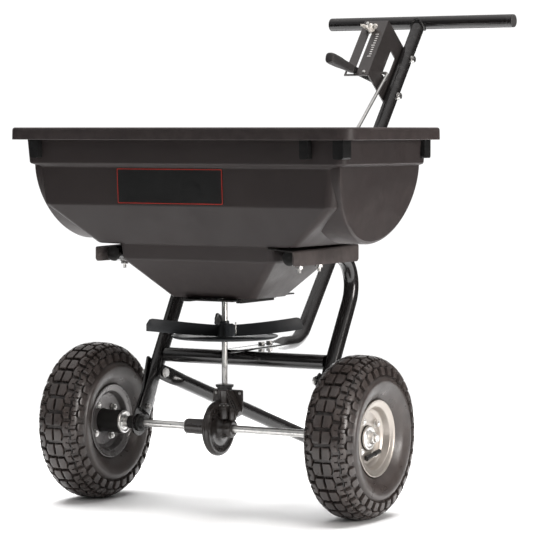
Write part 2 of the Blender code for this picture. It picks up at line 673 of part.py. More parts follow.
def rim_half(name, side, look, parent):
    """One pressed half of a rim: lip, bead seat, barrel and web."""
    profile = [(0.0003, 0.0490), (0.0240, 0.0508), (0.0292, 0.0530), (0.0296, 0.0606),
               (0.0345, 0.0636), (0.0358, 0.0616), (0.0322, 0.0590), (0.0312, 0.0515),
               (0.0150, 0.0478), (0.0130, 0.0430), (0.0130, 0.0202), (0.0110, 0.0202),
               (0.0110, 0.0430), (0.0003, 0.0464)]
    made = solid(name, turned(mirrored(profile, side), 20), look, parent)
    cuts = [rod((-0.02, y, z), (0.02, y, z), 0.0036, 6) for y, z in rim_bolt_places()]
    combine(made, "DIFFERENCE", join(*cuts), parent)


def rim_bolt_places():
    return [(0.0345 * cos(a), 0.0345 * sin(a)) for a in (radians(36 + 90 * k) for k in range(4))]


def hub(name, side, look, parent):
    """The hub tube. It reaches further inboard than outboard; side is the inboard direction."""
    bore = AXLE_R + GAP
    profile = [(-0.0170, bore), (-0.0170, 0.0160), (-0.0155, 0.0195), (0.0550, 0.0195),
               (0.0565, 0.0180), (0.0565, bore)]
    solid(name, turned(mirrored(profile, side), 20), look, parent)


def wheel(name, side, looks, parent):
    tyre(f"tyre_{name}", looks["rubber"], parent)
    rim_half(f"rim_inner_{name}", -side, looks["rim"], parent)
    rim_half(f"rim_outer_{name}", side, looks["rim"], parent)
    hub(f"wheel_hub_{name}", -side, looks["hub"], parent)
    for k, (y, z) in enumerate(rim_bolt_places()):
        bolt(f"rim_bolt_{name}_{k + 1}", (-0.0134, y, z), (0.0215, y, z), 0.0030, 0.0058,
             looks["zinc"], parent)


# --- Flow control -----------------------------------------------------------------------------------
def control_bracket(look, stem):
    """Folded plate: a side plate bolted to the stem, and a slotted front plate across its end."""
    x0, x1 = BRACKET_X, BRACKET_X + 0.0025
    made = solid("control_bracket", box((x0, -0.0800, -0.1965), (x1, 0.0040, -0.0660)), look, stem,
                 smooth=False)
    combine(made, "UNION", box((-0.0610, -0.0820, -0.1988), (x1 - 0.0001, -0.0795, -0.0665)), stem)
    combine(made, "DIFFERENCE", box((-0.03, -0.0395, -0.1600), (0.0, -0.0160, -0.1040)), stem)
    combine(made, "DIFFERENCE", box((LEVER_X - 0.0032, -0.09, -0.1955), (LEVER_X + 0.0032, -0.07, -0.0810)), stem)
    combine(made, "DIFFERENCE", box((-0.0580, -0.09, -0.1955), (LEVER_X, -0.07, -0.1760)), stem)
    holes = [rod((-0.03, 0, -s), (0.0, 0, -s), 0.0034, 8) for s in BRACKET_BOLTS]
    combine(made, "DIFFERENCE", join(*holes), stem)


def bracket_bolts(look, stem):
    for s, name in zip(BRACKET_BOLTS, ("upper", "lower")):
        bolt(f"bracket_bolt_{name}", (HANDLE_R + GAP + 0.0020, 0, -s), (BRACKET_X - 0.0080, 0, -s), 0.0030, 0.0062,
             look, stem)


def lever_pivot(look, stem):
    """A shouldered stud on the side plate. The lever turns on its thin end."""
    s, n = LEVER_PIVOT
    start, shoulder, end = BRACKET_X - GAP, LEVER_X + 0.0020 + GAP, LEVER_X - 0.0090
    made = solid("lever_pivot", rod((start, -n, -s), (shoulder, -n, -s), 0.0065, 12), look, stem)
    combine(made, "UNION", rod((shoulder + 0.002, -n, -s), (end, -n, -s), 0.0035, 10), stem)
    combine(made, "UNION", rod((LEVER_X - 0.0020 - GAP, -n, -s), (end + 0.001, -n, -s), 0.0060, 6), stem)


def lever_vector():
    """The lever's direction in the stem's frame, from its pivot to its grip."""
    s, n = LEVER_PIVOT
    return Vector((0, -(0.178 - n), -(0.236 - s))).normalized()


def control_lever(look, lever):
    """A flat bar through the slot. Its own origin is the pivot."""
    ahead = lever_vector()
    up = Vector((0, -ahead.z, ahead.y))
    if up.z < 0:
        up = -up
    outline = [ahead * -0.009 - up * 0.0066, ahead * 0.184 - up * 0.0066, ahead * 0.184 + up * 0.0066,
               ahead * -0.009 + up * 0.0066]
    rings = [[(x, point.y, point.z) for point in outline] for x in (-0.0020, 0.0020)]
    made = solid("control_lever", loft(rings), look, lever, smooth=False)
    pin = Vector((0, -(ROD_PIN[1] - LEVER_PIVOT[1]), -(ROD_PIN[0] - LEVER_PIVOT[0])))
    cuts = [rod((-0.01, 0, 0), (0.01, 0, 0), 0.0035 + GAP, 12),
            rod((-0.01, pin.y, pin.z), (0.01, pin.y, pin.z), ROD_R + GAP, 12)]
    combine(made, "DIFFERENCE", join(*cuts), lever)


def lever_grip(look, lever):
    """The sleeve over the lever's end, rounded at its tip."""
    ahead = lever_vector()
    start, tip = 0.145, 0.192
    stations = ((start, 0.0098), (start + 0.004, 0.0106), (tip - 0.008, 0.0112), (tip - 0.002, 0.0100),
                (tip, 0.0070))
    line = [ahead * distance for distance, _ in stations]
    rings = swept(line, [(r, r) for _, r in stations], Vector((1, 0, 0)), 16)
    made = solid("lever_grip", loft(rings), look, lever)
    up = Vector((0, -ahead.z, ahead.y))
    outline = [ahead * 0.10 - up * 0.0070, ahead * 0.1845 - up * 0.0070, ahead * 0.1845 + up * 0.0070,
               ahead * 0.10 + up * 0.0070]
    rings = [[(x, point.y, point.z) for point in outline] for x in (-0.0024, 0.0024)]
    combine(made, "DIFFERENCE", loft(rings), lever)


def stop_knob(zinc, stem):
    """The adjustable stop: a carriage bolt in the slot and the wing nut on its front."""
    s = 0.0885
    made = solid("stop_bolt", rod((LEVER_X, -0.0760, -s), (LEVER_X, -0.1020, -s), 0.0028, 10), zinc, stem)
    combine(made, "UNION", rod((LEVER_X, -0.0760, -s), (LEVER_X, -0.0792, -s), 0.0070, 16), stem)
    nut = solid("wing_nut", rod((LEVER_X, -0.0824, -s), (LEVER_X, -0.0920, -s), 0.0072, 12, 0.0058), zinc, stem)
    for side in (-1, 1):
        rings = []
        for reach, low, high in ((0.003, 0.0832, 0.0905), (0.010, 0.0850, 0.0965), (0.0165, 0.0900, 0.1010)):
            x = LEVER_X + side * reach
            rings.append([(x, -low, -s - 0.0016), (x, -high, -s - 0.0016),
                          (x, -high, -s + 0.0016), (x, -low, -s + 0.0016)])
        combine(nut, "UNION", loft(rings), stem)
    combine(nut, "DIFFERENCE", rod((LEVER_X, -0.080, -s), (LEVER_X, -0.11, -s), 0.0028 + GAP, 10), stem)


def control_rod(look, rod_frame, pin_world):
    """A bent wire: across through the lever, down behind the hopper, and through the gate's eye."""
    eye = Vector((0, GATE_EYE_Y, GATE_TOP + 0.012)) - pin_world
    corner_x = -0.0030 - pin_world.x
    points = [(-0.0085, 0, 0), (corner_x, 0, 0), (corner_x, eye.y, eye.z), (corner_x, eye.y, eye.z - 0.022)]
    line = filleted(points, [0.006, 0.008], radians(20))
    rings = swept(line, [(ROD_R, ROD_R)] * len(line), Vector((0.31, 0.9, -0.8)), 8)
    solid("control_rod", loft(rings), look, rod_frame)


# --- Assembly ------------------------------------------------------------------------------------------
def make_looks():
    return {
        "plastic": material("hopper_plastic", (0.055, 0.053, 0.055), 0.55),
        "frame": material("black_paint", (0.020, 0.020, 0.021), 0.28),
        "case": material("gearbox_plastic", (0.040, 0.040, 0.040), 0.50),
        "zinc": material("zinc_plate", (0.72, 0.72, 0.71), 0.32, 1.0),
        "steel": material("gear_steel", (0.45, 0.45, 0.46), 0.35, 1.0),
        "rubber": material("tyre_rubber", (0.026, 0.023, 0.021), 0.85),
        "rim": material("rim_paint", (0.10, 0.10, 0.10), 0.40),
        "hub": material("hub_plastic", (0.070, 0.068, 0.066), 0.45),
        "impeller": material("impeller_plastic", (0.030, 0.031, 0.033), 0.45),
        "grip": material("grip_vinyl", (0.090, 0.088, 0.088), 0.60),
    }


def build():
    clear_scene()
    looks = make_looks()
    root = empty("spreader_root", (0, -ORIGIN_Y, 0))
    drive = empty("drive_axle_centre", (0, 0, WHEEL_R), root)
    right_wheel = empty("right_wheel_centre", (WHEEL_X, 0, 0), drive)
    left_wheel = empty("left_wheel_centre", (-WHEEL_X, 0, WHEEL_R), root)
    rotor = empty("rotor_axis", (0, 0, 0), root)
    stem = empty("stem_frame", (0, HANDLE_Y, HANDLE_Z), root, (-STEM_LEAN, 0, 0))
    lever = empty("lever_pivot_point", (LEVER_X, -LEVER_PIVOT[1], -LEVER_PIVOT[0]), stem)

    hopper(looks["plastic"], root)
    hopper_bolts(looks["zinc"], root)
    gate(looks["zinc"], root)
    gate_tracks(looks["case"], root)
    shaft_bushing(looks["case"], root)

    vertical_shaft(looks["zinc"], rotor)
    agitator(looks["zinc"], rotor)
    impeller(looks["impeller"], rotor)
    pinion(looks["steel"], rotor)

    bevel_gear(looks["steel"], drive)
    gearbox_left(looks["case"], root)
    gearbox_right(looks["case"], root)
    gearbox_collar(looks["case"], root)
    axle(looks["zinc"], drive)
    axle_trim(looks["zinc"], drive)
    axle_bearings(looks["case"], root)

    frame_legs(looks["frame"], root)
    cross_tube(looks["frame"], root)
    axle_brackets(looks["frame"], root)
    stand_bolts(looks["zinc"], root)
    rear_stand(looks["frame"], root)
    handle_stem(looks["frame"], root)
    stem_bolt(looks["zinc"], root)
    handle_bar(looks["frame"], root)

    wheel("left", -1, looks, left_wheel)
    wheel("right", 1, looks, right_wheel)

    control_bracket(looks["frame"], stem)
    bracket_bolts(looks["zinc"], stem)
    lever_pivot(looks["zinc"], stem)
    stop_knob(looks["zinc"], stem)
    control_lever(looks["frame"], lever)
    lever_grip(looks["grip"], lever)
    top = Vector((0, HANDLE_Y, HANDLE_Z))
    forward = Vector((0, -cos(STEM_LEAN), sin(STEM_LEAN)))
    pin = top + stem_axis() * ROD_PIN[0] + forward * ROD_PIN[1]
    pin.x = LEVER_X
    rod_frame = empty("rod_pin_point", pin, root)
    control_rod(looks["zinc"], rod_frame, pin)


build()
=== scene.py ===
"""Looks of the push broadcast spreader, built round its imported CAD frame.

Machine axes: x = 0 is the middle plane, y = 0 is over the axle and z = 0 is the ground. at() turns
them into the frame's own coordinates. The stem's axes start at the middle of the handle bar:
s runs down the stem and n forward of it. Lengths are in metres.
"""
from math import atan2, ceil, cos, pi, radians, sin, tan

import bmesh
import bpy
from mathutils import Matrix, Vector


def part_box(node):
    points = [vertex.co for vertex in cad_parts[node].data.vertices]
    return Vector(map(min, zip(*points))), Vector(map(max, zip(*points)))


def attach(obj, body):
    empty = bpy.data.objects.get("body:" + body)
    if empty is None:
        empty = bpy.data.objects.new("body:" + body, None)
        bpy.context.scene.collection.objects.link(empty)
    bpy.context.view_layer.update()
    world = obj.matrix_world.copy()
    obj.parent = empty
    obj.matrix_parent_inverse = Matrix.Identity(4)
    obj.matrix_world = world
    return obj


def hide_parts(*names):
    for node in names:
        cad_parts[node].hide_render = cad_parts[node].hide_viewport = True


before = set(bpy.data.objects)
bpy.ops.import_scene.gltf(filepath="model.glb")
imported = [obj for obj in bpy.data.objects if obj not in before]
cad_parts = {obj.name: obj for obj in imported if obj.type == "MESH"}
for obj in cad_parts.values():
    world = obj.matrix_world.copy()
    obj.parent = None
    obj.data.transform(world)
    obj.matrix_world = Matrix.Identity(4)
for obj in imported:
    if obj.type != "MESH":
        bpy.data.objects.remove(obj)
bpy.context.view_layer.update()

# --- Sizes ---
GAP = 0.0003
TUBE_R, TUBE_WALL, HANDLE_R = 0.0125, 0.0014, 0.0122
AXLE_R, SHAFT_R, ROD_R = 0.00635, 0.0048, 0.0031
WHEEL_X = 0.2565

RIM_HALF_X, RIM_FRONT, RIM_BACK = 0.326, -0.165, 0.165
RIM_TOP, RIM_BOTTOM = 0.635, 0.6148
WALL, FUNNEL_BOTTOM = 0.004, 0.3535

LEG_X, LEG_TOP, LEG_FRONT, LEG_LEAN = 0.169, 0.4248, -0.078, radians(30.5)
LEG_BEND_R, LEG_STEP_IN = 0.054, 0.0028
LEG_FOOT_YZ, LOW_BOLT_YZ = (0.0102, 0.152), (0.0158, 0.16)
CROSS_TUBE_YZ, STAND_BOLT_YZ = (0.0665, 0.2455), (0.0485, 0.216)
STAND_END_X, STAND_FOOT_Y, STAND_FOOT_X = 0.1532, 0.56, 0.04
STEM_LEAN = atan2(0.4316, 0.5344)
PLATE_TIP_Y, PLATE_Z = 0.009, 0.2616
BRACKET_BOLTS, BRACKET_X, LEVER_X = (0.092, 0.181), -0.0139, -0.04
LEVER_PIVOT, ROD_PIN = (0.148, 0.004), (0.155, 0.035)
GATE_EYE_Y, GATE_TOP = 0.161, 0.3515
IMPELLER_Z, DISC_R, BLADE_TIP_R, BLADES = 0.2865, 0.089, 0.131, 4

WALL_LIGHT, CEILING_LIGHT, FLOOR_R = 0.05, 0.85, 1.3
SIDES = ((-1, "left"), (1, "right"))
BODY_OF_WHEEL = {-1: "free_wheel", 1: "drive_axle"}


def middle_of(node):
    low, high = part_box(node)
    return (low + high) / 2


def clamped(value):
    return max(0.0, min(1.0, value))


def eased_step(value):
    value = clamped(value)
    return value * value * (3 - 2 * value)


AXLE = middle_of("axle")
BAR = middle_of("handle_bar")
WHEEL_R = AXLE.z
BAR_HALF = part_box("handle_bar")[1].x
BAR_DROP = HANDLE_R - (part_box("handle_bar")[1].z - BAR.z)   # keeps the bar inside its CAD box
STEM = Matrix.Translation(BAR) @ Matrix.Rotation(-STEM_LEAN, 4, "X")
MACHINE = Matrix.Translation((0, AXLE.y, 0))


def at(x, y, z):
    return MACHINE @ Vector((x, y, z))


def mm(*points):
    """Points given in millimetres."""
    return [tuple(value / 1000 for value in point) for point in points]


def aimed(start, end):
    """The place of a shape drawn along z from start towards end, and its length."""
    start, along = Vector(start), Vector(end) - Vector(start)
    return Matrix.Translation(start) @ along.to_track_quat("Z", "Y").to_matrix().to_4x4(), along.length


# --- Materials ---
class Look:
    """A Principled material with a few shorthands for its procedural nodes."""

    def __init__(self, name, **sockets):
        self.material = bpy.data.materials.new(name)
        self.material.use_nodes = True
        self.tree = self.material.node_tree
        self.shader = self.tree.nodes["Principled BSDF"]
        for socket, value in sockets.items():
            self.shader.inputs[socket.replace("_", " ").title().replace("Ior", "IOR")].default_value = value
        self.place = self.tree.nodes.new("ShaderNodeTexCoord").outputs["Object"]

    def node(self, kind, links=(), **values):
        made = self.tree.nodes.new(kind)
        for key, value in values.items():
            setattr(made, key, value)
        for socket, source in dict(links).items():
            if isinstance(source, bpy.types.NodeSocket):
                self.tree.links.new(source, made.inputs[socket])
            else:
                made.inputs[socket].default_value = source
        return made

    def noise(self, scale, detail=3.0, roughness=0.55, stretch=(1, 1, 1)):
        place = self.node("ShaderNodeMapping", {"Vector": self.place, "Scale": stretch}).outputs[0]
        links = {"Vector": place, "Scale": scale, "Detail": detail, "Roughness": roughness}
        return self.node("ShaderNodeTexNoise", links).outputs["Fac"]

    def grain(self, scale):
        return self.node("ShaderNodeTexVoronoi", {"Vector": self.place, "Scale": scale}).outputs["Distance"]

    def span(self, value, low, high, to_low=0.0, to_high=1.0):
        links = {"Value": value, "From Min": low, "From Max": high, "To Min": to_low, "To Max": to_high}
        return self.node("ShaderNodeMapRange", links).outputs[0]

    def mix(self, factor, first, second):
        return self.node("ShaderNodeMix", {0: factor, 6: first, 7: second}, data_type="RGBA").outputs[2]

    def times(self, first, second):
        return self.node("ShaderNodeMath", {0: first, 1: second}, operation="MULTIPLY").outputs[0]

    def edges(self, low=0.515, high=0.56):
        """1 on the outer edges of a shape and 0 elsewhere."""
        return self.span(self.node("ShaderNodeNewGeometry").outputs["Pointiness"], low, high)

    def bump(self, *layers):
        """Each layer is a height with its depth in metres."""
        normal = None
        for height, depth in layers:
            links = {"Height": height, "Distance": depth, "Strength": 1.0}
            if normal is not None:
                links["Normal"] = normal
            normal = self.node("ShaderNodeBump", links).outputs[0]
        self.tree.links.new(normal, self.shader.inputs["Normal"])

    def paint(self, socket, source):
        self.tree.links.new(source, self.shader.inputs[socket])


def rgb(r, g, b, gain=1.0, lift=0.0):
    return (r * gain + lift, g * gain + lift, b * gain + lift, 1.0)


def moulded(name, base, dusty, roughness=(0.42, 0.55), grain=0.00006, coat=0.0, shine=0.28):
    """Moulded plastic: faint flow marks, fine texture, scuffed and paler on its edges."""
    look = Look(name, coat_weight=coat, specular_ior_level=shine)
    mottle = look.span(look.noise(9.0, 4.0), 0.35, 0.7)
    colour = look.mix(mottle, base, dusty)
    scuffs = look.span(look.noise(70.0, 5.0, 0.65, (1, 1, 5)), 0.58, 0.78, 0.0, 0.22)
    colour = look.mix(look.times(scuffs, mottle), colour, rgb(*dusty[:3], 1.5))
    worn = look.times(look.edges(), look.span(look.noise(60.0), 0.4, 0.62, 0.1, 0.5))
    look.paint("Base Color", look.mix(worn, colour, rgb(*dusty[:3], 1.8)))
    look.paint("Roughness", look.span(look.noise(24.0, 5.0), 0.3, 0.7, *roughness))
    look.bump((look.noise(1500.0, 2.0), grain), (look.noise(30.0, 2.0), 0.00022))
    return look.material


def gloss_paint(name, base, roughness, flake=0.0):
    """Powder coat over steel: orange peel, a film of dust and paler, worn edges here and there."""
    look = Look(name, metallic=flake, coat_weight=0.35, coat_roughness=0.12)
    dust = look.span(look.noise(14.0, 5.0, 0.6), 0.45, 0.75, 0.0, 0.15)
    colour = look.mix(dust, base, rgb(*base[:3], 1.7, 0.012))
    worn = look.times(look.edges(0.57, 0.66), look.span(look.noise(90.0, 4.0), 0.52, 0.66, 0.0, 0.5))
    look.paint("Base Color", look.mix(worn, colour, rgb(0.16, 0.155, 0.15)))
    look.paint("Roughness", look.span(look.noise(34.0, 5.0), 0.3, 0.72, *roughness))
    look.bump((look.noise(260.0, 2.0), 0.000012), (look.noise(60.0, 2.0), 0.00005))
    return look.material


def plated(name, base, dull, roughness):
    """Zinc plate or plain steel: a fine grain, and spots of dull oxide."""
    look = Look(name, metallic=1.0)
    spots = look.span(look.noise(120.0, 5.0, 0.6), 0.45, 0.7)
    fine = look.noise(900.0, 2.0, 0.5)
    colour = look.mix(spots, base, dull)
    look.paint("Base Color", look.mix(look.span(fine, 0.35, 0.65, 0.0, 0.15), colour, dull))
    look.paint("Roughness", look.span(look.noise(150.0, 4.0), 0.3, 0.7, *roughness))
    look.bump((fine, 0.000005), (look.noise(300.0, 3.0), 0.000012))
    return look.material


def rubber(name, base, dusty):
    """Moulded rubber: an uneven film of brown dust with paler specks, and painted shade that darkens its
    hollows.
    """
    look = Look(name, specular_ior_level=0.55)
    dust = look.span(look.noise(26.0, 6.0, 0.62), 0.38, 0.68)
    # painted shade: low pointiness marks the grooves and hollows, which are darkened towards near-black
    groove_shade = look.span(look.node("ShaderNodeNewGeometry").outputs["Pointiness"], 0.42, 0.52, 1.0, 0.0)
    film = look.mix(look.times(dust, 0.75), base, dusty)
    speckle = look.span(look.noise(600.0, 3.0, 0.6), 0.6, 0.74, 0.0, 0.35)
    film = look.mix(speckle, film, rgb(*dusty[:3], 1.9))
    look.paint("Base Color", look.mix(look.times(groove_shade, 0.6), film, rgb(0.01, 0.009, 0.008)))
    look.paint("Roughness", look.span(look.noise(45.0, 5.0), 0.3, 0.7, 0.24, 0.46))
    look.bump((look.noise(700.0, 3.0, 0.6), 0.00008), (look.grain(260.0), 0.00006))
    return look.material


def flat_print(name, base, roughness):
    """Printed vinyl film: a little orange peel and a few rub marks."""
    look = Look(name, coat_weight=0.2, coat_roughness=0.2)
    rub = look.span(look.noise(55.0, 6.0, 0.65, (1, 1, 3)), 0.55, 0.75, 0.0, 0.3)
    look.paint("Base Color", look.mix(rub, base, rgb(*base[:3], 1.5, 0.01)))
    look.paint("Roughness", look.span(look.noise(80.0, 3.0), 0.3, 0.7, roughness, roughness + 0.15))
    look.bump((look.noise(500.0, 2.0), 0.00003))
    return look.material


def floor_paper(name):
    look = Look(name, roughness=0.9)
    tone = look.span(look.noise(3.0, 3.0), 0.3, 0.7)
    look.paint("Base Color", look.mix(tone, rgb(0.86, 0.86, 0.86), rgb(0.88, 0.88, 0.88)))
    return look.material


def make_looks():
    """Every material by its name."""
    table = (
        (moulded, "hopper_plastic", rgb(0.0325, 0.0262, 0.0258), rgb(0.036, 0.029, 0.028)),
        # skirt_plastic: the hopper plastic made paler, painting the light that falls on the hood's outward
        # side
        (moulded, "skirt_plastic", rgb(0.058, 0.049, 0.047), rgb(0.064, 0.054, 0.052)),
        # hopper_recess: a near-black copy of the hopper plastic that paints the shade inside the rim's
        # gussets
        (moulded, "hopper_recess", rgb(0.006, 0.006, 0.006), rgb(0.009, 0.009, 0.009)),
        (moulded, "plug_plastic", rgb(0.052, 0.05, 0.051), rgb(0.07, 0.067, 0.067)),
        (moulded, "trim_plastic", rgb(0.016, 0.0155, 0.015), rgb(0.024, 0.023, 0.022), (0.3, 0.45)),
        (moulded, "gearbox_plastic", rgb(0.026, 0.0215, 0.0195), rgb(0.042, 0.035, 0.032), (0.2, 0.36),
         0.00004, 0.25, 0.5),
        (moulded, "impeller_plastic", rgb(0.016, 0.0175, 0.0195), rgb(0.023, 0.0245, 0.0265), (0.35, 0.5)),
        (moulded, "grip_vinyl", rgb(0.032, 0.03, 0.03), rgb(0.046, 0.043, 0.042), (0.45, 0.6), 0.00012),
        (moulded, "nylon", rgb(0.62, 0.58, 0.53), rgb(0.74, 0.7, 0.65), (0.4, 0.55)),
        (gloss_paint, "frame_paint", rgb(0.0115, 0.0105, 0.0105), (0.16, 0.3)),
        # bracket_paint: the frame's black paint made paler, painting the light on the control bracket's lit
        # faces
        (gloss_paint, "bracket_paint", rgb(0.033, 0.0285, 0.0275), (0.34, 0.48)),
        # rim_paint and rim_paint_light are one rim paint in two tones: the pale one paints the light on the
        # right rim's outboard face, the dark one the shade on every other rim half
        (gloss_paint, "rim_paint", rgb(0.13, 0.122, 0.12), (0.22, 0.38), 0.5),
        (gloss_paint, "rim_paint_light", rgb(0.4, 0.365, 0.33), (0.28, 0.42), 0.7),
        (plated, "zinc", rgb(0.84, 0.83, 0.81), rgb(0.66, 0.65, 0.63), (0.26, 0.4)),
        (plated, "gear_steel", rgb(0.48, 0.47, 0.46), rgb(0.3, 0.29, 0.28), (0.3, 0.5)),
        (rubber, "tyre_rubber", rgb(0.033, 0.0265, 0.0245), rgb(0.062, 0.049, 0.044)),
        (flat_print, "label_black", rgb(0.005, 0.005, 0.005), 0.36),
        (flat_print, "label_red", rgb(0.42, 0.035, 0.022), 0.32),
        (flat_print, "scale_white", rgb(0.66, 0.64, 0.62), 0.35),
        (floor_paper, "floor_paper"),
    )
    return {name: make(name, *values) for make, name, *values in table}


# the slot that each look belongs to; the prints of label and scale belong to none
SLOT_OF = {name: name for name in (
    "hopper_plastic", "frame_paint", "gearbox_plastic", "trim_plastic", "zinc", "gear_steel", "tyre_rubber",
    "rim_paint", "rim_paint_light", "impeller_plastic", "grip_vinyl")}
SLOT_OF.update(hopper_recess="hopper_plastic", skirt_plastic="hopper_plastic", plug_plastic="trim_plastic",
               bracket_paint="frame_paint")


# --- Modelling helpers ---
def piece(name, bm, look, body="frame", slot=None, place=MACHINE, sharp=38, bevel=0.0, stands_for=None):
    """Turns a bmesh into a finished piece that rides on a body. The slot argument is not used."""
    bm.transform(place)
    bmesh.ops.recalc_face_normals(bm, faces=bm.faces)
    mesh = bpy.data.meshes.new(name)
    bm.to_mesh(mesh)
    bm.free()
    mesh.materials.append(LOOKS[look])
    mesh.shade_smooth()
    mesh.set_sharp_from_angle(angle=radians(sharp))
    made = bpy.data.objects.new(name, mesh)
    bpy.context.scene.collection.objects.link(made)
    if bevel:
        soften_edges(made, bevel)
    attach(made, body)
    slot = slot or SLOT_OF.get(look)
    if stands_for:
        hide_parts(stands_for)
    return made


def soften_edges(made, width, angle=32):
    rounding = made.modifiers.new("rounding", "BEVEL")
    rounding.width = width
    rounding.segments = 3
    rounding.limit_method = "ANGLE"
    rounding.angle_limit = radians(angle)
    rounding.harden_normals = True


def loft(rings, closed=False):
    bm = bmesh.new()
    rows = [[bm.verts.new(point) for point in ring] for ring in rings]
    pairs = list(zip(rows, rows[1:]))
    if closed:
        pairs.append((rows[-1], rows[0]))
    for first, second in pairs:
        for i in range(len(first)):
            j = (i + 1) % len(first)
            bm.faces.new((first[i], first[j], second[j], second[i]))
    if not closed:
        bm.faces.new(rows[0])
        bm.faces.new(rows[-1])
    return bm


def box(low, high):
    bm = bmesh.new()
    bmesh.ops.create_cube(bm, size=1.0)
    bmesh.ops.scale(bm, vec=[b - a for a, b in zip(low, high)], verts=bm.verts)
    bmesh.ops.translate(bm, vec=[(a + b) / 2 for a, b in zip(low, high)], verts=bm.verts)
    return bm


def merged(*parts):
    whole = bmesh.new()
    for part in parts:
        mesh = bpy.data.meshes.new("merged")
        part.to_mesh(mesh)
        part.free()
        whole.from_mesh(mesh)
        bpy.data.meshes.remove(mesh)
    return whole


def shaped(base, *steps):
    """The bmesh left after a series of ("UNION" or "DIFFERENCE", bmesh) steps on base."""
    def as_object(bm):
        bmesh.ops.recalc_face_normals(bm, faces=bm.faces)
        mesh = bpy.data.meshes.new("shaping")
        bm.to_mesh(mesh)
        bm.free()
        made = bpy.data.objects.new("shaping", mesh)
        bpy.context.scene.collection.objects.link(made)
        return made

    target = as_object(base)
    helpers = []
    for operation, bm in steps:
        helper = as_object(bm)
        helpers.append(helper)
        modifier = target.modifiers.new("shape", "BOOLEAN")
        modifier.operation = operation
        modifier.solver = "EXACT"
        modifier.object = helper
    bpy.context.view_layer.update()
    evaluated = target.evaluated_get(bpy.context.evaluated_depsgraph_get())
    result = bmesh.new()
    result.from_mesh(evaluated.to_mesh())
    for item in [target, *helpers]:
        bpy.data.objects.remove(item, do_unlink=True)
    bmesh.ops.remove_doubles(result, verts=result.verts, dist=1e-6)
    return result


def rod(start, end, radius, sides=32, end_radius=None):
    place, length = aimed(start, end)
    bm = bmesh.new()
    bmesh.ops.create_cone(bm, cap_ends=True, segments=sides, depth=length, radius1=radius,
                          radius2=end_radius or radius, matrix=place @ Matrix.Translation((0, 0, length / 2)))
    return bm


def rounded(outline, radius, steps=3):
    """A closed outline with each corner cut to a curve that starts at most radius from it."""
    points = []
    for i, at_corner in enumerate(outline):
        corner = Vector(at_corner)
        before, after = Vector(outline[i - 1]) - corner, Vector(outline[(i + 1) % len(outline)]) - corner
        start = corner + before * min(0.45, radius / max(before.length, 1e-9))
        end = corner + after * min(0.45, radius / max(after.length, 1e-9))
        for k in range(steps + 1):
            f = k / steps
            points.append(tuple(start * (1 - f) ** 2 + corner * 2 * f * (1 - f) + end * f * f))
    return points


def turned(profile, sides=64, axis="X"):
    rings = []
    for k in range(sides):
        c, s = cos(2 * pi * k / sides), sin(2 * pi * k / sides)
        rings.append([(a, r * c, r * s) if axis == "X" else (r * c, r * s, a) for a, r in profile])
    return loft(rings, closed=True)


def lathed(profile, soft=0.0008, sides=64, axis="X", side=1, steps=3):
    """A turned solid with soft corners. side = -1 mirrors it."""
    return turned(rounded([(side * a, r) for a, r in profile], soft, steps), sides, axis)


def filleted(corners, radii, step=radians(6)):
    corners = [Vector(corner) for corner in corners]
    points = [corners[0]]
    for before, corner, after, radius in zip(corners, corners[1:], corners[2:], radii):
        incoming, outgoing = (corner - before).normalized(), (after - corner).normalized()
        angle = incoming.angle(outgoing)
        start = corner - incoming * radius * tan(angle / 2)
        inward = (outgoing - incoming * incoming.dot(outgoing)).normalized()
        count = max(2, ceil(angle / step))
        for k in range(count + 1):
            a = angle * k / count
            points.append(start + incoming * radius * sin(a) + inward * radius * (1 - cos(a)))
    points.append(corners[-1])
    return points


def with_stations(points, stations):
    """The same line with further points at these distances from its end."""
    result = [points[-1]]
    travelled = 0.0
    wanted = sorted(stations)
    for far, near in zip(points[-2::-1], points[:0:-1]):
        length = (far - near).length
        while wanted and travelled < wanted[0] < travelled + length:
            result.append(near.lerp(far, (wanted.pop(0) - travelled) / length))
        travelled += length
        result.append(far)
    return result[::-1]


def swept(points, shapes, side, sides=36):
    """Rings along a line. shapes gives each point's half size along side, and across it."""
    rings = []
    for i, (point, (half_side, half_across)) in enumerate(zip(points, shapes)):
        ahead = (points[min(i + 1, len(points) - 1)] - points[max(i - 1, 0)]).normalized()
        sideways = (side - ahead * side.dot(ahead)).normalized()
        across = ahead.cross(sideways)
        ring = []
        for k in range(sides):
            a = 2 * pi * (k + 0.5) / sides
            ring.append(point + sideways * half_side * cos(a) + across * half_across * sin(a))
        rings.append(ring)
    return rings


def hollow_tube(points, shapes, side, sides=36):
    """An open-ended tube with a wall."""
    outer = swept(points, shapes, side, sides)
    thinner = [(max(a - TUBE_WALL, 0.0004), max(b - TUBE_WALL, 0.0004)) for a, b in shapes]
    return loft(outer + swept(points, thinner, side, sides)[::-1], closed=True)


def round_end(left, reach):
    """How wide a rounded end is at this distance from its tip, from 0 to 1."""
    f = clamped(left / reach)
    return (1 - (1 - f) ** 2) ** 0.5


def steps_between(low, high, count):
    return [low + (high - low) * k / count for k in range(count + 1)]


# --- Fasteners ---
def fastener(stations, sides=36):
    """A solid through stations of (along, corner radius of a hexagon or 0, largest radius)."""
    rings = []
    for along, corner, limit in stations:
        ring = []
        for k in range(sides):
            a = 2 * pi * k / sides
            reach = corner * cos(pi / 6) / cos(a % (pi / 3) - pi / 6) if corner else limit
            r = min(reach, limit)
            ring.append((r * cos(a), r * sin(a), along))
        rings.append(ring)
    return loft(rings)


def hexagon(low, high, corner):
    chamfer = 0.12 * corner
    return [(low, corner, 0.92 * corner), (low + chamfer, corner, corner),
            (high - chamfer, corner, corner), (high, corner, 0.92 * corner)]


def thread(low, high, radius):
    rings, pitch = [], 0.0009
    for k in range(max(1, int((high - low) / pitch))):
        rings += [(low + k * pitch, 0, radius), (low + (k + 0.5) * pitch, 0, 0.88 * radius)]
    return rings


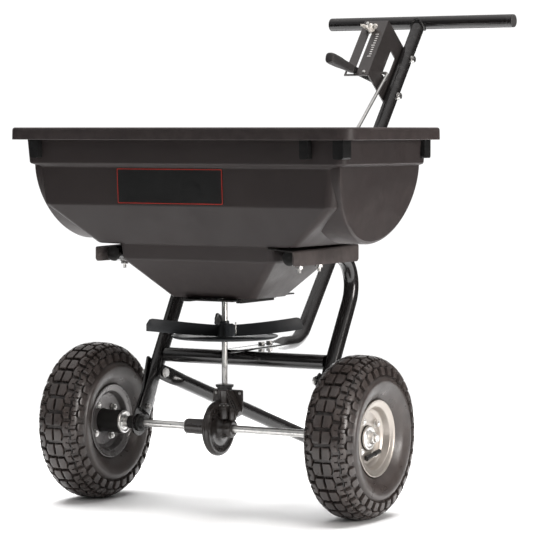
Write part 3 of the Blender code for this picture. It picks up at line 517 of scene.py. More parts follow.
def bolt(name, start, end, radius, head, nut_at, place=MACHINE, washer=0.0, body="frame", node=True,
         look="zinc"):
    """A hexagon bolt with washers. nut_at is where the clamped parts end, measured from start."""
    local, length = aimed(start, end)
    wide = 1.12 * head
    stations = hexagon(-0.004, -0.0006, head)
    stations += [(-0.0006, 0, wide), (washer, 0, wide), (washer, 0, radius)]
    stations += [(nut_at, 0, radius), (nut_at, 0, wide), (nut_at + 0.0009, 0, wide)]
    stations += hexagon(nut_at + 0.0009, nut_at + 0.0056, head)
    stations += thread(nut_at + 0.0056, length - 0.0008, radius)
    stations += [(length - 0.0006, 0, radius), (length, 0, 0.75 * radius)]
    piece(f"{name}_finish" if node else name, fastener(stations), look, body, "zinc", place @ local,
          stands_for=name if node else None)


def fasteners():
    y, z = STAND_BOLT_YZ
    low_y, low_z = LOW_BOLT_YZ
    for side, name in SIDES:
        for along, place in ((-0.045, "front"), (0.02, "rear")):
            below = LEG_TOP - TUBE_R - GAP
            bolt(f"hopper_bolt_{name}_{place}", (side * LEG_X, along, below + 0.0222),
                 (side * LEG_X, along, below - 0.0125), 0.003, 0.0068, 0.0222)
        bolt(f"stand_bolt_{name}", (side * (STAND_END_X - 0.005), y, z), (side * 0.193, y, z),
             0.004, 0.0075, 0.0332)
        bolt(f"leg_bolt_{name}", (side * 0.1628, low_y, low_z), (side * 0.183, low_y, low_z),
             0.0022, 0.004, 0.0104, node=False, look="gear_steel")
        for k in range(4):
            a = radians(36 + 90 * k)
            x, along, up = side * WHEEL_X, 0.0345 * cos(a), WHEEL_R + 0.0345 * sin(a)
            bolt(f"rim_bolt_{name}_{k + 1}", (x - 0.0134, along, up), (x + 0.0215, along, up), 0.003, 0.0058,
                 0.0266, body=BODY_OF_WHEEL[side])
    for name, along in (("stem_bolt", 0.148), ("stem_bolt_front", 0.121)):
        bolt(name, (0, along, PLATE_Z + 0.0036 + GAP), (0, along, PLATE_Z - 0.013), 0.003, 0.006, 0.0073,
             node=name == "stem_bolt", look="gear_steel")
    for s, name in zip(BRACKET_BOLTS, ("upper", "lower")):
        bolt(f"bracket_bolt_{name}", (HANDLE_R + GAP + 0.002, 0, -s), (BRACKET_X - 0.008, 0, -s),
             0.003, 0.0062, 0.0276, STEM, washer=0.0018)


# --- Hopper ---
def rounded_rectangle(half_x, front, back, z, corner, steps=9):
    points = []
    corners = ((half_x, back, 0), (-half_x, back, 90), (-half_x, front, 180), (half_x, front, 270))
    for x, y, start in corners:
        centre_x = x - corner if x > 0 else x + corner
        centre_y = y - corner if y == back else y + corner
        for k in range(steps + 1):
            angle = radians(start + 90 * k / steps)
            points.append((centre_x + corner * cos(angle), centre_y + corner * sin(angle), z))
    return points


def hopper_levels(inset):
    """The hopper's levels from top to bottom: half width, front, back and height of each."""
    t = inset
    return [
        (0.3065 - t, -0.1445 + t, 0.146 - t, RIM_TOP + (0.005 if inset else -0.003)),
        (0.3025 - t, -0.141 + t, 0.1455 - t, 0.5755),
        (0.285 - t, -0.134 + t, 0.145 - t, 0.5705),
        (0.277 - t, -0.1305 + t, 0.144 - t, 0.5075),
        (0.19 - t, -0.098 + t, 0.115 - t, 0.443 + t),
        (0.147 - t, -0.096 + t, 0.113 - t, 0.442 + t),
        (0.146 - t, -0.092 + t, 0.109 - t, 0.417),
        (0.08 - t, -0.042 + t, 0.072 - t, FUNNEL_BOTTOM + t),
    ]


def eased(levels, reach=0.0035, steps=3):
    """The same levels with every fold between them rounded off."""
    levels = [Vector(level) for level in levels]
    result = [levels[0]]
    for before, level, after in zip(levels, levels[1:], levels[2:]):
        up, down = before - level, after - level
        start = level + up * min(0.45, reach / up.length)
        end = level + down * min(0.45, reach / down.length)
        for k in range(steps + 1):
            f = k / steps
            result.append(start * (1 - f) ** 2 + level * 2 * f * (1 - f) + end * f * f)
    result.append(levels[-1])
    return result


def hopper_core(inset, corner):
    rings = []
    for half, front, back, z in eased(hopper_levels(inset)):
        radius = corner if z > 0.5 else corner * 0.75
        rings.append(rounded_rectangle(half, front, back, z, radius - inset))
    return rings


def lobe(side, inset):
    """One rounded end of the hopper: half an ellipse, drafted towards its outer face."""
    half_y, depth, centre_z, centre_y = 0.137 - inset, 0.128 - inset, 0.5745, 0.004
    inner, outer = 0.225 + inset, 0.2925 - inset
    edge = 0.005
    rings = []
    for x, shrink in ((inner, 0.0), (outer - edge, 0.0), (outer - 0.3 * edge, 0.0015), (outer, edge)):
        above = centre_z + 0.02
        wide, deep = half_y - shrink, depth - shrink
        ring = [(side * x, centre_y + wide, above), (side * x, centre_y - wide, above)]
        for k in range(49):
            angle = pi + pi * k / 48
            y, drop = centre_y + wide * cos(angle), deep * abs(sin(angle))
            draft = 0.02 * (drop / depth) ** 1.5 if x > inner else 0.0
            ring.append((side * (x - draft), y, centre_z - drop))
        rings.append(ring)
    return loft(rings)


def hopper():
    rim = []
    for inset, z in ((0.0045, RIM_TOP), (0.0022, RIM_TOP - 0.0007), (0.0008, RIM_TOP - 0.0025),
                     (0.0003, RIM_TOP - 0.005), (0, RIM_BOTTOM + 0.0008), (0.0008, RIM_BOTTOM),
                     (0.003, RIM_BOTTOM), (0.004, RIM_TOP - 0.003)):
        rim.append(rounded_rectangle(RIM_HALF_X - inset, RIM_FRONT + inset, RIM_BACK - inset, z,
                                     0.025 - inset))
    steps = [("UNION", lobe(side, 0.0)) for side in (-1, 1)]
    steps.append(("DIFFERENCE", loft(hopper_core(WALL, 0.016))))
    steps += [("DIFFERENCE", lobe(side, WALL)) for side in (-1, 1)]
    low, high = FUNNEL_BOTTOM - 0.01, FUNNEL_BOTTOM + 0.02
    holes = [rod((0, 0, low), (0, 0, high), 0.008 + GAP)]
    holes += [rod((x, 0.029, low), (x, 0.029, high), 0.012) for x in (-0.034, 0.034)]
    steps.append(("DIFFERENCE", merged(*holes)))
    shell = shaped(loft(rim + hopper_core(0.0, 0.016)), *steps)
    made = piece("hopper_shell", shell, "hopper_plastic", sharp=24, stands_for="hopper")
    made.modifiers.new("even_shading", "WEIGHTED_NORMAL").keep_sharp = True


def hopper_hoods():
    """The hood on each side that rests on a leg: a thin roof that falls outward, and a skirt."""
    front, back, low, corner = -0.1012, 0.1175, 0.4126, 0.0065
    wall, inner, outer, r = 0.0024, 0.14, 0.19, 0.0035
    stations = [(0, 0.6 * corner)]
    for a in (30, 60, 90):
        stations.append((corner * (1 - cos(radians(a))), corner * (1 - sin(radians(a)))))
    stations = [(front + y, rise) for y, rise in stations] + [(back - y, rise) for y, rise in stations[::-1]]
    bend = [radians(22.5 * k) for k in range(5)]
    for side, name in SIDES:
        roof, skirt = [], []
        for y, rise in stations:
            top = 0.4372 + 0.004 * (y - front) / (back - front)
            roof.append([(outer - r, top - 0.0001), (inner, top + 0.004), (inner, top + 0.0022),
                         (outer - r, top - wall + 0.0001)])
            turns = [(r, a) for a in bend] + [(r - wall, a) for a in bend[::-1]]
            section = [(outer - r + reach * cos(a), top - r + reach * sin(a)) for reach, a in turns]
            skirt.append([(outer, low + rise), *section, (outer - wall, low + rise)])
        # painted light: the skirt is a paler copy of the hopper plastic, for the light on its outward side
        # painted shade: the roof takes the near-black trim plastic, not the hopper's own, to darken the gap
        # under the hopper's slope
        for part, sections, look in (("shelf", roof, "trim_plastic"), ("skirt", skirt, "skirt_plastic")):
            rings = [[(side * x, y, z) for x, z in ring] for ring, (y, _) in zip(sections, stations)]
            piece(f"hopper_{part}_{name}", loft(rings), look, slot="hopper_plastic", sharp=30)


def hopper_pockets():
    """Gussets that stiffen the rim near its corners, each drawn as a solid block of near-black plastic:
    painted shade that stands for its dark hollow inside.
    """
    def pocket(name, low_side, high_side, depths, turn):
        low, high = RIM_BOTTOM - 0.03, RIM_BOTTOM + 0.012
        outline = rounded([(low_side, low), (high_side, low), (high_side, high), (low_side, high)], 0.004)
        rings = []
        for depth in depths:
            rings.append([(depth, along, z) if turn else (along, depth, z) for along, z in outline])
        piece(f"rim_pocket_{name}", loft(rings), "hopper_recess")

    for k, (x0, x1) in enumerate([(-0.285, -0.269), (0.23, 0.246), (0.29, 0.3085)]):
        pocket(f"front_{k + 1}", x0, x1, (-0.128, -0.153, -0.1545), False)
    pocket("left_1", 0.118, 0.14, (-0.298, -0.304, -0.305), True)
    pocket("right_1", 0.118, 0.14, (0.298, 0.3105, 0.312), True)


def label():
    """A plain panel with a thin border on the front, without any lettering."""
    def on_panel(x, z, lift):
        return (x, -0.134 + (0.5705 - z) * (0.0035 / 0.063) - lift, z)

    def plate(x0, x1, z0, z1, low, high):
        outline = rounded([(x0, z0), (x1, z0), (x1, z1), (x0, z1)], 0.002)
        return [[on_panel(x, z, lift) for x, z in outline] for lift in (low, high)]

    piece("label_panel", loft(plate(-0.126, 0.077, 0.51, 0.5685, 0.0001, 0.0006)), "label_black")
    outer = plate(-0.1252, 0.0762, 0.5108, 0.5677, 0.0005, 0.0008)
    inner = plate(-0.124, 0.075, 0.512, 0.5665, 0.0005, 0.0008)
    piece("label_border", loft([outer[0], outer[1], inner[1], inner[0]], closed=True), "label_red")


# --- Frame ---
def tube_piece(name, line, shapes, side, node):
    piece(name, hollow_tube(line, shapes, Vector(side)), "frame_paint", sharp=50, stands_for=node)


def frame_legs():
    foot_y, foot_z = LEG_FOOT_YZ
    bend_y = foot_y + (LEG_TOP - foot_z) * tan(LEG_LEAN)
    flat_reach, flat_blend = 0.095, 0.06
    for side, name in SIDES:
        x = side * LEG_X
        line = filleted([(x, LEG_FRONT, LEG_TOP), (x, bend_y, LEG_TOP), (x, foot_y, foot_z)], [LEG_BEND_R])
        line = with_stations(line, steps_between(0.03, 0.1, 14))
        shapes = []
        for point in line:
            flat = eased_step((flat_reach - (line[-1] - point).length) / flat_blend)
            shapes.append((TUBE_R + (0.0031 - TUBE_R) * flat, TUBE_R + 0.005 * flat))
            point.x = side * (LEG_X - LEG_STEP_IN * flat)
        tube_piece(f"leg_{name}", line, shapes, (1, 0, 0), f"frame_leg_{name}")


def straight_tube(name, start, end, radius, node):
    line = [Vector(start).lerp(Vector(end), f) for f in steps_between(0.0, 1.0, 8)]
    tube_piece(name, line, [(radius, radius)] * len(line), (0, 0, 1), node)


def rear_stand():
    y, z = STAND_BOLT_YZ
    feet = [Vector((side * STAND_FOOT_X, STAND_FOOT_Y, TUBE_R)) for side in (-1, 1)]
    ends = [Vector((side * STAND_END_X, y, z)) for side in (-1, 1)]
    tips = [end + (end - foot).normalized() * 0.01 for end, foot in zip(ends, feet)]
    half = filleted([(0, STAND_FOOT_Y, TUBE_R), feet[0], tips[0]], [0.036])
    half = with_stations(half, [0.001, 0.003, 0.006] + steps_between(0.024, 0.06, 12))
    line = [Vector((-p.x, p.y, p.z)) for p in half[:0:-1]] + [Vector(p) for p in half]
    shapes = []
    for point in line:
        left = min((point - tip).length for tip in tips)
        flat = eased_step((0.056 - left) / 0.028)
        wide = (TUBE_R + 0.0012 * flat) * (0.55 + 0.45 * round_end(left, 0.01))
        shapes.append((wide, TUBE_R + (0.0029 - TUBE_R) * flat))
    tube_piece("stand_tube", line, shapes, (0, 0.4, 1.0), "rear_stand")


def handle_stem():
    """The stem slopes down from the bar, bends forward and ends as a plate on the cross tube."""
    top = Vector((0, BAR.y - AXLE.y, BAR.z))
    down = Vector((0, -sin(STEM_LEAN), -cos(STEM_LEAN)))
    bend = top + down * ((BAR.z - PLATE_Z) / cos(STEM_LEAN))
    line = filleted([top + down * (HANDLE_R + 0.0005), bend, (0, PLATE_TIP_Y, PLATE_Z)], [0.06])
    stations = [0.001, 0.003, 0.006, 0.01, 0.015, 0.02] + steps_between(0.14, 0.196, 16)
    line = with_stations(line, stations)
    shapes = []
    for point in line:
        left = point.y - PLATE_TIP_Y
        flat = eased_step((0.192 - left) / 0.045)
        wide = (HANDLE_R + 0.008 * flat) * (0.5 + 0.5 * round_end(left, 0.02))
        shapes.append((wide, HANDLE_R + (0.0032 - HANDLE_R) * flat))
    tube = hollow_tube(line, shapes, Vector((1, 0, 0)))
    hole = rod((0, 0.121, PLATE_Z - 0.02), (0, 0.121, PLATE_Z + 0.02), 0.0058)
    piece("stem_tube", shaped(tube, ("DIFFERENCE", hole)), "frame_paint", sharp=50, stands_for="handle_stem")


def bar_ends():
    y, z = BAR.y - AXLE.y - BAR_DROP, BAR.z - BAR_DROP
    return (0.008 - BAR_HALF, y, z), (BAR_HALF - 0.002, y, z)


def end_plug(name, tip, outward, radius, look):
    """A domed plastic plug pressed into an open tube end."""
    inner = radius - TUBE_WALL - 0.0002
    profile = [(-0.01, 0.0002), (-0.01, inner - 0.0006), (0.0002, inner), (0.0002, radius - 0.0004),
               (0.0012, radius), (0.0022, radius - 0.001), (0.003, 0.55 * radius), (0.0032, 0.0002)]
    turn = Vector(outward).to_track_quat("X", "Z").to_matrix().to_4x4()
    piece(name, lathed(profile, 0.0008, 40, steps=2), look, place=MACHINE @ Matrix.Translation(tip) @ turn)


def end_plugs():
    for side, name in SIDES:
        end_plug(f"leg_plug_{name}", (side * LEG_X, LEG_FRONT, LEG_TOP), (0, -1, 0), TUBE_R, "trim_plastic")
    for (side, name), end in zip(SIDES, bar_ends()):
        end_plug(f"handle_plug_{name}", end, (side, 0, 0), HANDLE_R, "plug_plastic")


def weld_bead():
    """The weld round the joint of stem and bar: a row of small overlapping ripples."""
    line, ripples = [], 44
    for k in range(ripples * 4):
        a = 2 * pi * k / (ripples * 4)
        x, n = (HANDLE_R + 0.001) * cos(a), (HANDLE_R + 0.001) * sin(a)
        drop = max(HANDLE_R ** 2 - n * n, 0.0) ** 0.5
        line.append(Vector((x, n, -max(drop, 0.0016) - 0.0022)))
    rings = []
    for k, point in enumerate(line):
        ahead = (line[(k + 1) % len(line)] - line[k - 1]).normalized()
        out = Vector((point.x, point.y, 0)).normalized()
        out = (out - ahead * out.dot(ahead)).normalized()
        across = ahead.cross(out)
        r = 0.0024 + 0.0005 * abs(sin(pi * k / 4))
        turns = [2 * pi * j / 10 for j in range(10)]
        rings.append([point + out * r * cos(a) + across * r * sin(a) for a in turns])
    piece("stem_weld", loft(rings, closed=True), "frame_paint", place=STEM, sharp=60)


# --- Wheels ---
PITCHES = 32                 # tread blocks round the tyre
TREAD_DEPTH = 0.0056
# each row of blocks: where it begins and ends across the tyre, its stagger, and its share of a pitch
TREAD_ROWS = ((0.0013, 0.016, 0.0, 0.8), (0.0182, 0.0298, 0.5, 0.8), (0.0318, 0.0436, 0.0, 0.78),
              (0.0458, 0.06, 0.5, 0.62))
TREAD_EDGE = 0.0009          # how far a block's side slopes out
ZIGZAG = 0.0013


def curve_through(points, steps=12):
    """A smooth Catmull-Rom line through 2D points."""
    points = [Vector(p) for p in points]
    padded = [points[0] * 2 - points[1]] + points + [points[-1] * 2 - points[-2]]
    line = []
    for a, b, c, d in zip(padded, padded[1:], padded[2:], padded[3:]):
        for k in range(steps):
            t = k / steps
            line.append(0.5 * (2 * b + (c - a) * t + (2 * a - 5 * b + 4 * c - d) * t * t
                               + (3 * b - a - 3 * c + d) * t ** 3))
    line.append(points[-1])
    return line


def tyre_section(along, line, lengths):
    """The point and outward normal at a distance from the crown on the tyre's outer curve."""
    reach = abs(along)
    i = 0
    while i < len(lengths) - 2 and lengths[i + 1] < reach:
        i += 1
    f = min(1.0, (reach - lengths[i]) / (lengths[i + 1] - lengths[i]))
    point, step = line[i].lerp(line[i + 1], f), line[i + 1] - line[i]
    normal = Vector((-step.y, step.x)).normalized()
    if normal.y < 0 and reach < 0.05:
        normal = -normal
    side = 1 if along >= 0 else -1
    return Vector((side * point.x, point.y)), Vector((side * normal.x, normal.y))


def block_height(along, turn):
    """Height of the tread, from 0 in a groove to 1 on a block. turn is counted in pitches."""
    reach = abs(along)
    pitch = 2 * pi * WHEEL_R / PITCHES
    for row, (inner, outer, phase, share) in enumerate(TREAD_ROWS):
        if inner <= reach <= outer:
            off = abs((turn - phase) % 1.0 - 0.5)
            margin = min(reach - inner, outer - reach, (share / 2 - off) * pitch)
            height = clamped(margin / TREAD_EDGE)
            notched = off < 0.045 and (outer - reach < 0.0052 if row == 1 else reach - inner < 0.0045)
            if notched and row in (1, 2):
                height *= 0.45
            return height * (0.93 + 0.07 * min(1.0, margin / 0.0028))
    return 0.0


def zigzag(along, turn):
    """The grooves that run round the tyre weave from side to side, so the rows interlock."""
    reach = abs(along)
    share = min(1.0, reach / 0.016) * clamped((0.064 - reach) / 0.018)
    return along - (1 if along >= 0 else -1) * ZIGZAG * share * cos(2 * pi * turn)


def tyre(name, body, place):
    outer = [(0.0, WHEEL_R), (0.011, WHEEL_R - 0.0002)]
    outer += mm((22.5, 131), (33.5, 124.6), (40.8, 113.5), (44, 96), (40.3, 79), (33.5, 69), (28.5, 63.2),
                (26.2, 54.5), (22.5, 51.8))
    line = curve_through(outer)
    lengths = [0.0]
    for first, second in zip(line, line[1:]):
        lengths.append(lengths[-1] + (second - first).length)
    stations = [0.0]
    for inner, limit, _, _ in TREAD_ROWS:
        stations += [inner, inner + TREAD_EDGE, inner + 0.0028, inner + 0.0044, inner + 0.0052,
                     limit - 0.0054, limit - 0.0046, limit - 0.0028, limit - TREAD_EDGE, limit]
    stations += steps_between(0.0645, lengths[-1], 16)
    stations = [-s for s in stations[:0:-1]] + stations
    slope = TREAD_EDGE * PITCHES / (2 * pi * WHEEL_R)
    half = {0.035, 0.055, 0.445, 0.465, 0.0}
    for share in (TREAD_ROWS[0][3], TREAD_ROWS[3][3]):
        gap = (1 - share) / 2
        half |= {gap, gap + slope, 0.5 - gap - slope, 0.5 - gap}
    half = sorted(half)
    turns = half + [0.5 + part for part in half]
    inside = mm((21.5, 60), (33, 80), (36, 96), (33, 110), (18, 122))
    inside += [(-x, r) for x, r in inside[::-1]]
    rings = []
    for k in range(PITCHES):
        for part in turns:
            angle = 2 * pi * (k + part) / PITCHES
            c, s = cos(angle), sin(angle)
            ring = []
            for along in stations:
                point, normal = tyre_section(zigzag(along, part), line, lengths)
                fade = clamped((0.066 - abs(along)) / 0.006)
                spot = point - normal * TREAD_DEPTH * fade * (1 - block_height(along, part))
                ring.append((spot.x, spot.y * c, spot.y * s))
            ring += [(x, r * c, r * s) for x, r in inside]
            rings.append(ring)
    piece(f"tyre_{name}_tread", loft(rings, closed=True), "tyre_rubber", body, place=place, sharp=42,
          stands_for=f"tyre_{name}")


def rim_half(name, side, look, body, place, node):
    """One pressed half of a rim: rolled lip, bead seat, barrel and web."""
    profile = mm((0.3, 49), (22.5, 50.8), (26.6, 53), (27, 60.6), (30.6, 63.4), (32, 61.8), (29.6, 58.6),
                 (28, 51.2), (17, 47.8), (13.4, 42), (13, 20.2), (11, 20.2), (11.2, 43), (0.3, 46.4))
    piece(name, lathed(profile, 0.0016, 96, side=side), look, body, place=place, stands_for=node)


def wheel(name, side, looks):
    body, place = BODY_OF_WHEEL[side], MACHINE @ Matrix.Translation((side * WHEEL_X, 0, WHEEL_R))
    tyre(name, body, place)
    rim_half(f"rim_{name}_inboard", -side, looks[0], body, place, f"rim_inner_{name}")
    rim_half(f"rim_{name}_outboard", side, looks[1], body, place, f"rim_outer_{name}")
    bore = 1000 * (AXLE_R + GAP)
    hub = mm((-17, bore + 2), (-17, 16), (-15.5, 19.5), (55, 19.5), (56.5, 18), (56.5, bore + 2))
    piece(f"hub_{name}", lathed(hub, side=-side), "trim_plastic", body, place=place,
          stands_for=f"wheel_hub_{name}")
    ring = mm((-2.2, 19.7), (0.8, 19.4), (1.6, 18.2), (1.6, 16), (0.2, 15.4), (0.2, 11.2), (2, 10.6),
              (2, bore), (-2.2, bore))
    for end, out, label in ((0.0565, 1, "inboard"), (-0.017, -1, "outboard")):
        bearing = lathed([(end + out * a, r) for a, r in ring], 0.0004, side=-side, steps=2)
        piece(f"wheel_bearing_{name}_{label}", bearing, "zinc", body, place=place)
    valve(name, side, place, body)


def valve(name, side, place, body):
    """The tube's valve, bent flat in the outboard dish of the rim, with its cap."""
    local, length = aimed((side * 0.0165, -0.01, -0.0325), (side * 0.0225, 0.026, -0.0235))
    stations = [(0, 0, 0.0046), (0.004, 0, 0.0042), (0.5 * length, 0, 0.003), (0.6 * length, 0, 0.003),
                (0.62 * length, 0, 0.0041), (0.97 * length, 0, 0.0038), (length, 0, 0.003)]
    piece(f"valve_{name}", fastener(stations, 24), "trim_plastic", body, "tyre_rubber", place @ local)


def axle_and_shaft():
    def bar(name, low, high, radius, body, place, node, sides):
        profile = [(low, 0, radius - 0.001), (low + 0.001, 0, radius), (high - 0.001, 0, radius),
                   (high, 0, radius - 0.001)]
        piece(name, fastener(profile, sides), "zinc", body, place=place, stands_for=node)

    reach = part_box("axle")[1].x - AXLE.x
    low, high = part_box("vertical_shaft")
    along_x = Matrix.Translation(AXLE) @ Matrix.Rotation(pi / 2, 4, "Y")
    bar("axle_bar", -reach, reach, AXLE_R, "drive_axle", along_x, "axle", 48)
    bar("shaft_bar", low.z, high.z, SHAFT_R, "rotor", MACHINE, "vertical_shaft", 40)
    spacer = [(0.1893, AXLE_R + GAP), (0.1893, 0.0098), (0.1975, 0.0098), (0.1975, AXLE_R + GAP)]
    for side, name in SIDES:
        piece(f"axle_spacer_{name}", lathed(spacer, 0.0006, side=side), "zinc", "drive_axle",
              place=MACHINE @ Matrix.Translation((0, 0, WHEEL_R)))


# --- Gearbox ---
def slab(outline, y0, y1, corner=0.003):
    """A plate in the x-z plane with rounded corners and soft edges."""
    outline = [Vector(point) for point in rounded(outline, corner)]
    middle = sum(outline, Vector((0, 0))) / len(outline)
    rings = []
    for y, inset in ((y0, 0.0006), (y0 + 0.0006, 0.0), (y1 - 0.0006, 0.0), (y1, 0.0006)):
        moved = [point + (middle - point).normalized() * inset for point in outline]
        rings.append([(point.x, y, point.y) for point in moved])
    return loft(rings)


def gearbox():
    """A dished gear housing on the axle, and the pinion's tower in front of its flange."""
    bore, shaft = 1000 * (AXLE_R + GAP), 1000 * (SHAFT_R + GAP)
    on_axle = Matrix.Translation((0, 0, WHEEL_R))
    dish = mm((-72, bore), (-72, 12.2), (-70.8, 12.8), (-29, 13.3), (-23.5, 15), (-21.6, 20), (-21.3, 33),
              (-19.6, 41.5), (-16.5, 45.6), (-13, 47), (-11.3, 47), (-11.3, 44), (-15, 41.5), (-18, 35),
              (-18.2, bore))
    left = lathed(dish, 0.003, 96)
    left.transform(on_axle)
    flange = slab(mm((-30, 162), (-12, 162), (-12, 198), (-27, 198)), 0.0085, 0.0125)
    piece("gearbox_left_half", shaped(left, ("UNION", flange)), "gearbox_plastic", sharp=32,
          stands_for="gearbox_case_left")

    cover = mm((-11, 44.8), (-11, 47), (-8.5, 46.9), (-5.8, 45.2), (-4.4, 41), (-5.8, 36), (-7, 29),
               (-6.2, 22), (-3, 17), (3, 15), (16, 14.6), (17.4, 13.4), (17.6, bore), (-8.5, bore), (-9, 40))
    right = lathed(cover, 0.0026, 96)
    right.transform(on_axle)
    tower = mm((149, 0.2), (149, 9.4), (150.2, 10.6), (170, 10.6), (172.8, 10.1), (174.4, 8.4), (176.5, 7.9),
               (189, 8.1), (195, 9.6), (198.4, 10), (198.4, 0.2))
    lug = mm((147, 0.2), (147.2, 4.2), (149.2, 6.4), (164, 6.6), (168.5, 5.2), (170.2, 0.2))
    boss = lathed(lug, 0.001, 32, "Z", steps=2)
    boss.transform(Matrix.Translation((0.0172, -0.0025, 0)))
    ear = mm((-10, 153), (23.5, 153), (29.2, 164), (28.8, 198), (-10, 198))
    neck = mm((-6.8, 138), (12, 138), (12, 197), (-6.8, 197))
    gusset = mm((2, 150), (20, 151), (27, 157), (27.5, 165), (11, 196), (2, 196))
    added = [lathed(tower, 0.0012, 64, "Z", steps=2), boss, slab(ear, 0.0085, 0.0125),
             slab(neck, -0.001, 0.01), slab(gusset, -0.0015, 0.01)]
    for shift in (-3.4, 0.4):
        ridge = mm((7.2 + shift, 195.8), (8.8 + shift, 195.8), (25.8 + shift, 164), (24.2 + shift, 164))
        added.append(slab(ridge, -0.0062, 0.004, 0.0006))
    bores = [rod((0, 0, 0.14), (0, 0, 0.21), SHAFT_R + GAP),
             rod((-0.03, 0, WHEEL_R), (0.03, 0, WHEEL_R), AXLE_R + GAP)]
    steps = [("UNION", part) for part in added] + [("DIFFERENCE", part) for part in bores]
    piece("gearbox_right_half", shaped(right, *steps), "gearbox_plastic", sharp=32, bevel=0.0004,
          stands_for="gearbox_case_right")

    collar = mm((198.7, shaft), (198.7, 12.4), (202.2, 12.7), (203, 14.8), (207, 15), (207, shaft))
    piece("gearbox_cap", lathed(collar, 0.0006, 48, "Z", steps=2), "trim_plastic", slot="gearbox_plastic",
          stands_for="gearbox_collar")
    for name, x, z in (("right", 0.024, 0.1925), ("left", -0.0215, 0.192)):
        screw = fastener([(0, 0, 0.0026), (0.001, 0, 0.0026), (0.0019, 0, 0.0016)], 24)
        screw.transform(Matrix.Translation((x, 0.0086, z)) @ Matrix.Rotation(pi / 2, 4, "X"))
        piece(f"gearbox_screw_{name}", screw, "gear_steel", slot="zinc")


# --- Impeller ---
def blade(start, stations=24):
    """One blade, from the hub out past the disc's rim, with its outer top corner rounded off."""
    z, root_r, sweep, rings = IMPELLER_Z, 0.0085, radians(8), []
    for f in steps_between(0.0, 1.0, stations):
        r, angle = root_r + (BLADE_TIP_R - root_r) * f, start + sweep * f * f
        corner = max(0.0, (f - 0.9) / 0.1)
        low, high = z + 0.001 + 0.01 * f ** 1.5, z + 0.02 + 0.013 * f ** 1.3
        high -= 0.0105 * (1 - (1 - corner * corner) ** 0.5)
        ahead, centre = Vector((-sin(angle), cos(angle), 0)), Vector((r * cos(angle), r * sin(angle), 0))
        section = rounded([(-0.0012, low), (0.0012, low), (0.0012, high), (-0.0012, high)], 0.0009, 2)
        rings.append([centre + ahead * across + Vector((0, 0, up)) for across, up in section])
    return loft(rings)


def impeller():
    """The spreading disc, with long blades that rise and sweep forward past its rim."""
    z, low, first = IMPELLER_Z, IMPELLER_Z - 0.0028, radians(30.3)
    disc = [(low, SHAFT_R + GAP), (low, 0.055), (low + 0.0012, DISC_R - 0.004), (low + 0.0034, DISC_R),
            (low + 0.0056, DISC_R + 0.0004), (low + 0.0056, DISC_R - 0.0016), (low + 0.0036, DISC_R - 0.005),
            (low + 0.003, 0.0125), (z + 0.022, 0.009), (z + 0.0225, 0.0078), (z + 0.027, 0.0076),
            (z + 0.027, SHAFT_R + GAP)]
    blades = [("UNION", blade(first + 2 * pi * k / BLADES)) for k in range(BLADES)]
    piece("impeller_finish", shaped(lathed(disc, 0.0009, 96, "Z", steps=2), *blades), "impeller_plastic",
          "rotor", sharp=35, stands_for="impeller")
    toward, out = Vector((sin(first), -cos(first), 0)), Vector((cos(first), sin(first), 0))
    clip = [out * 0.0185 + toward * reach + Vector((0, 0, z + rise))
            for reach, rise in mm((-3, 23.5), (3, 23.5), (3, 6), (-0.5, 4))]
    clip = filleted(clip, [0.0018, 0.0015], radians(15))
    piece("impeller_clip", loft(swept(clip, [(0.0011, 0.0011)] * len(clip), out, 12)), "zinc", "rotor")
    tab = rounded(mm((-20.5, 22), (-8.5, 22), (-8.5, 28), (-12.5, 40)), 0.0012, 2)
    rings = [[(x, y, z + up) for x, up in tab] for y in (-0.0008, 0.0006)]
    piece("impeller_tab", loft(rings), "gear_steel", "rotor")


# --- Flow control ---
def lever_grip():
    """A dipped vinyl paddle: slim at the bracket and wide at its rounded tip."""
    def rounder(value):
        return abs(value) ** 0.7 * (1 if value > 0 else -1)

    s, n = LEVER_PIVOT
    towards_s, towards_n = 0.236, 0.178
    ahead = Vector((0, n - towards_n, s - towards_s)).normalized()
    up = Vector((0, -ahead.z, ahead.y))
    up = up if up.z > 0 else -up
    shape = mm((100, 4, 7.6), (101, 4.8, 8.4), (122, 5, 8.6), (138, 6, 9), (150, 8, 9.8), (160, 9, 10.2),
               (182, 9.4, 10.4), (188, 9, 10), (191, 7.4, 8.6), (192, 4.8, 6.2))
    turns = [2 * pi * k / 40 for k in range(40)]
    rings = []
    for distance, half_x, half_up in shape:
        rings.append([ahead * distance + Vector((half_x * rounder(cos(a)), 0, 0))
                      + up * half_up * rounder(sin(a)) for a in turns])
    made = piece("grip_sleeve", loft(rings), "grip_vinyl", "flow_lever", sharp=60, stands_for="lever_grip",
                 place=STEM @ Matrix.Translation((LEVER_X, -n, -s)))
    smoothing = made.modifiers.new("smoothing", "SUBSURF")
    smoothing.levels = smoothing.render_levels = 1


def wing_nut():
    """A moulded wing nut on the stop bolt's thread."""
    turns = [2 * pi * k / 16 for k in range(16)]
    steps = []
    for side in (-1, 1):
        rings = []
        for f in steps_between(0.0, 1.0, 8):
            reach, middle = side * (0.004 + 0.0125 * f), -0.087 - 0.0078 * f ** 1.3
            half_n, half_s = 0.0046 + 0.0018 * sin(pi * f) - 0.0004 * f, 0.0032 - 0.0009 * f
            if f > 0.85:
                half_n, half_s = half_n * 0.72, half_s * 0.75
            rings.append([(reach, middle + half_n * cos(a), half_s * sin(a)) for a in turns])
        steps.append(("UNION", loft(rings)))
    steps.append(("DIFFERENCE", rod((0, -0.08, 0), (0, -0.11, 0), 0.0028 + GAP, 24)))
    body = shaped(rod((0, -0.0826, 0), (0, -0.093, 0), 0.0076, 40, 0.0062), *steps)
    piece("wing_nut_finish", body, "nylon", "stop", sharp=40, stands_for="wing_nut",
          place=STEM @ Matrix.Translation((LEVER_X, 0, -0.0885)))


